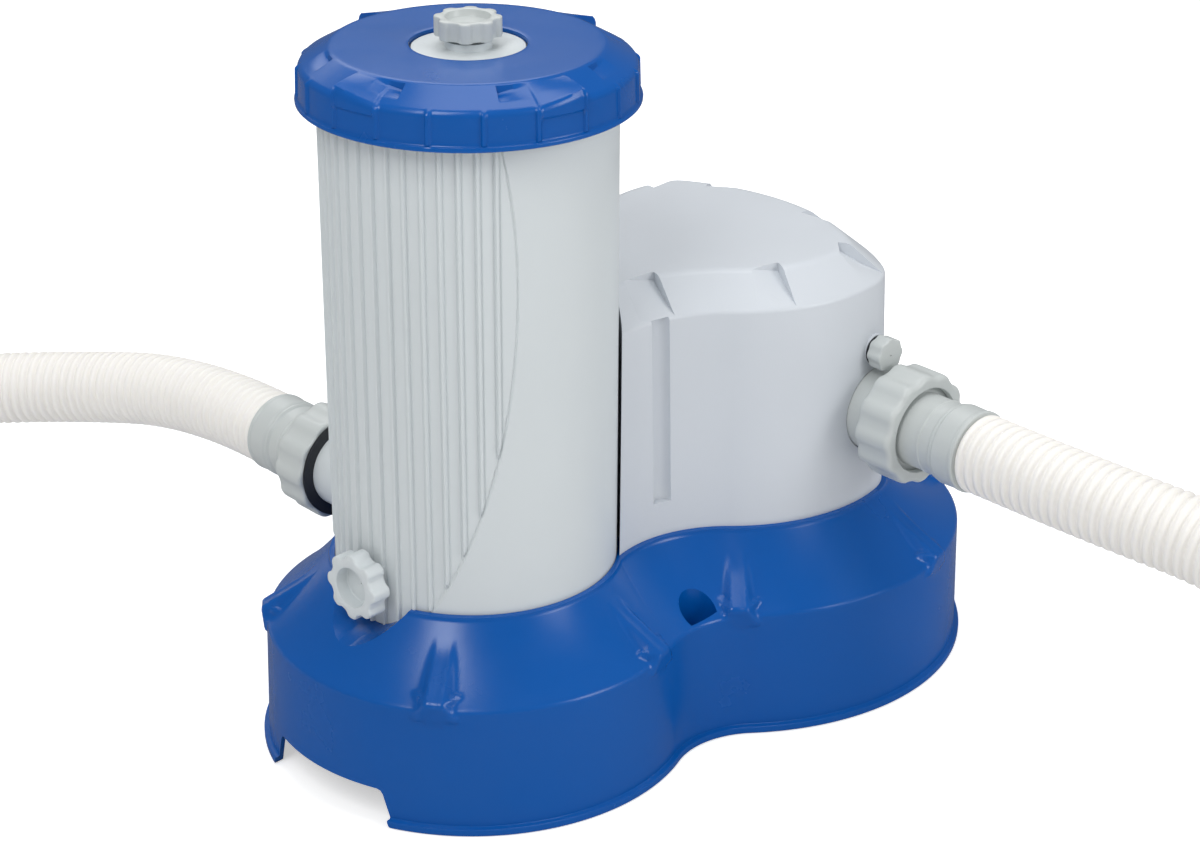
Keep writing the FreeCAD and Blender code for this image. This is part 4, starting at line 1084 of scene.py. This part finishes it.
def socket(thick, radius, depth, stem, stem_length):
    """Rings from a grip's face, down its round socket, and back round its stem."""
    rows = [(radius + 0.8, thick), (radius + 0.2, thick - 0.2), (radius, thick - 0.8)]
    rows += [(radius - 0.3, thick - depth + 0.6), (radius - 0.9, thick - depth)]
    rows += [(0.4, thick - depth), (0.4, -stem_length), (stem - 0.8, -stem_length)]
    return rows + [(stem, -stem_length + 0.8), (stem, -0.4), (stem + 1.2, 0.0)]


air_at = Matrix.Translation(at(CAN[0], 0, 402 + 23.3))
grip("air_valve_knob_moulded", knob_levels(11), 18.5, 15.9, 8, 1.8, air_at, "fitting_grey",
     "air_valve_knob", "air_valve_knob", socket(11, 12.3, 4.0, 5.2, 14))
drain_at = frame_along(DRAIN_WAY, DRAIN_AXIS + DRAIN_WAY * (CAN_R + 3.4 * MM))
grip("drain_valve_knob_moulded", knob_levels(12.2, 1.2), 20, 17.0, 8, 1.5, drain_at,
     "canister_grey", "drain_valve_knob", "drain_valve_knob", socket(12.2, 11.8, 8.0, 6.2, 9))
vent_at = frame_along(FRONT, at(VENT_X, -104.3, VENT_Z))
plug_rows = [(6.0, 10.0), (0.5, 10.0), (0.5, -14), (4.6, -14), (5.2, -13.4), (5.2, -0.3), (6.0, 0.0)]
grip("vent_plug_moulded", knob_levels(10, 0.7), 10.5, 9.7, 8, 0.8, vent_at, "fitting_grey",
     "vent_plug", "vent_plug", plug_rows)


def union_nut(name, node, body, hose_end, way):
    """A scalloped nut, with its lip round the tail and its threaded bore towards the port."""
    length = 26.0
    matrix = frame_along(way, Vector(hose_end) + Vector(way) * 41 * MM)
    levels = [(3.4, 0.0), (2.4, 0.05), (1.3, 0.6), (0.5, 1.6), (0.1, 2.9), (0, 5), (0, 13), (0, 21)]
    levels += [(0.15, 24.2), (0.5, 25.3), (1.2, 25.9), (1.9, 26.0)]
    thread = []
    for k in range(6):
        z = length - 0.9 - 2.6 * k
        thread += [(30.9, z), (30.3, z - 0.7), (30.3, z - 1.3), (30.9, z - 2.0)]
    rows = [(31.4, length), *thread, (31.0, 9.2), (30.8, 5.1), (30.2, 4.6), (26.6, 4.5)]
    rows += [(26.0, 4.0), (26.0, 0.8), (26.5, 0.1), (27.4, 0.0)]
    grip(name, levels, 34.5, 32.7, 12, 0.9, matrix, "fitting_grey", body, node, rows)


def tail(name, node, hose_end, way):
    """The hose tail: collar, neck with a thin raised band, and the flange in the nut."""
    profile = [(17, 14), (23.4, 14), (23.9, 15), (23.9, 18.6), (22.6, 20), (22.5, 27)]
    profile += [(22.9, 27.4), (22.9, 29), (22.5, 29.4)]
    profile += [(22.5, 45.8), (29.5, 46), (29.5, 50), (17, 50)]
    skin = spun(rounded(profile, 0.7), frame_along(way, hose_end))
    smooth(mesh_object(name, *skin, "fitting_grey", "pump_unit", node), 40)


def cuff(name, node, hose_end, way):
    """The cuff: a slightly tapered sleeve with a bead at its mouth."""
    profile = [(17, 0), (24.3, 0), (24.9, 0.7), (24.9, 2.6), (24.4, 3.2)]
    profile += [(24.7, 15.4), (24.0, 17), (17, 17)]
    skin = spun(rounded(profile, 0.8), frame_along(way, hose_end))
    smooth(mesh_object(name, *skin, "fitting_grey", "pump_unit", node), 40)


for prefix, route, way in (("inlet", INLET_ROUTE, FRONT), ("outlet", OUTLET_ROUTE, BACK)):
    near_end = at(*route[0])
    union_nut(f"{prefix}_nut_moulded", f"{prefix}_union_nut", f"{prefix}_nut", near_end, way)
    tail(f"{prefix}_tail_moulded", f"{prefix}_hose_tail", near_end, way)
    cuff(f"{prefix}_cuff_moulded", f"{prefix}_hose_cuff", near_end, way)
# painted shade: a dark rubber ring behind the inlet nut stands in for the shade on the nut's back face
nut_back_shade_ring = spun(
    [(24.7, 0), (31.5, 0), (31.5, 1.2), (24.7, 1.2)],
    frame_along(BACK, (FILTER_X, 124.6 * MM, INLET.z)),
)
smooth(mesh_object("inlet_port_painted_shade_ring", *nut_back_shade_ring, "seal_rubber", "pump_unit"), 40)
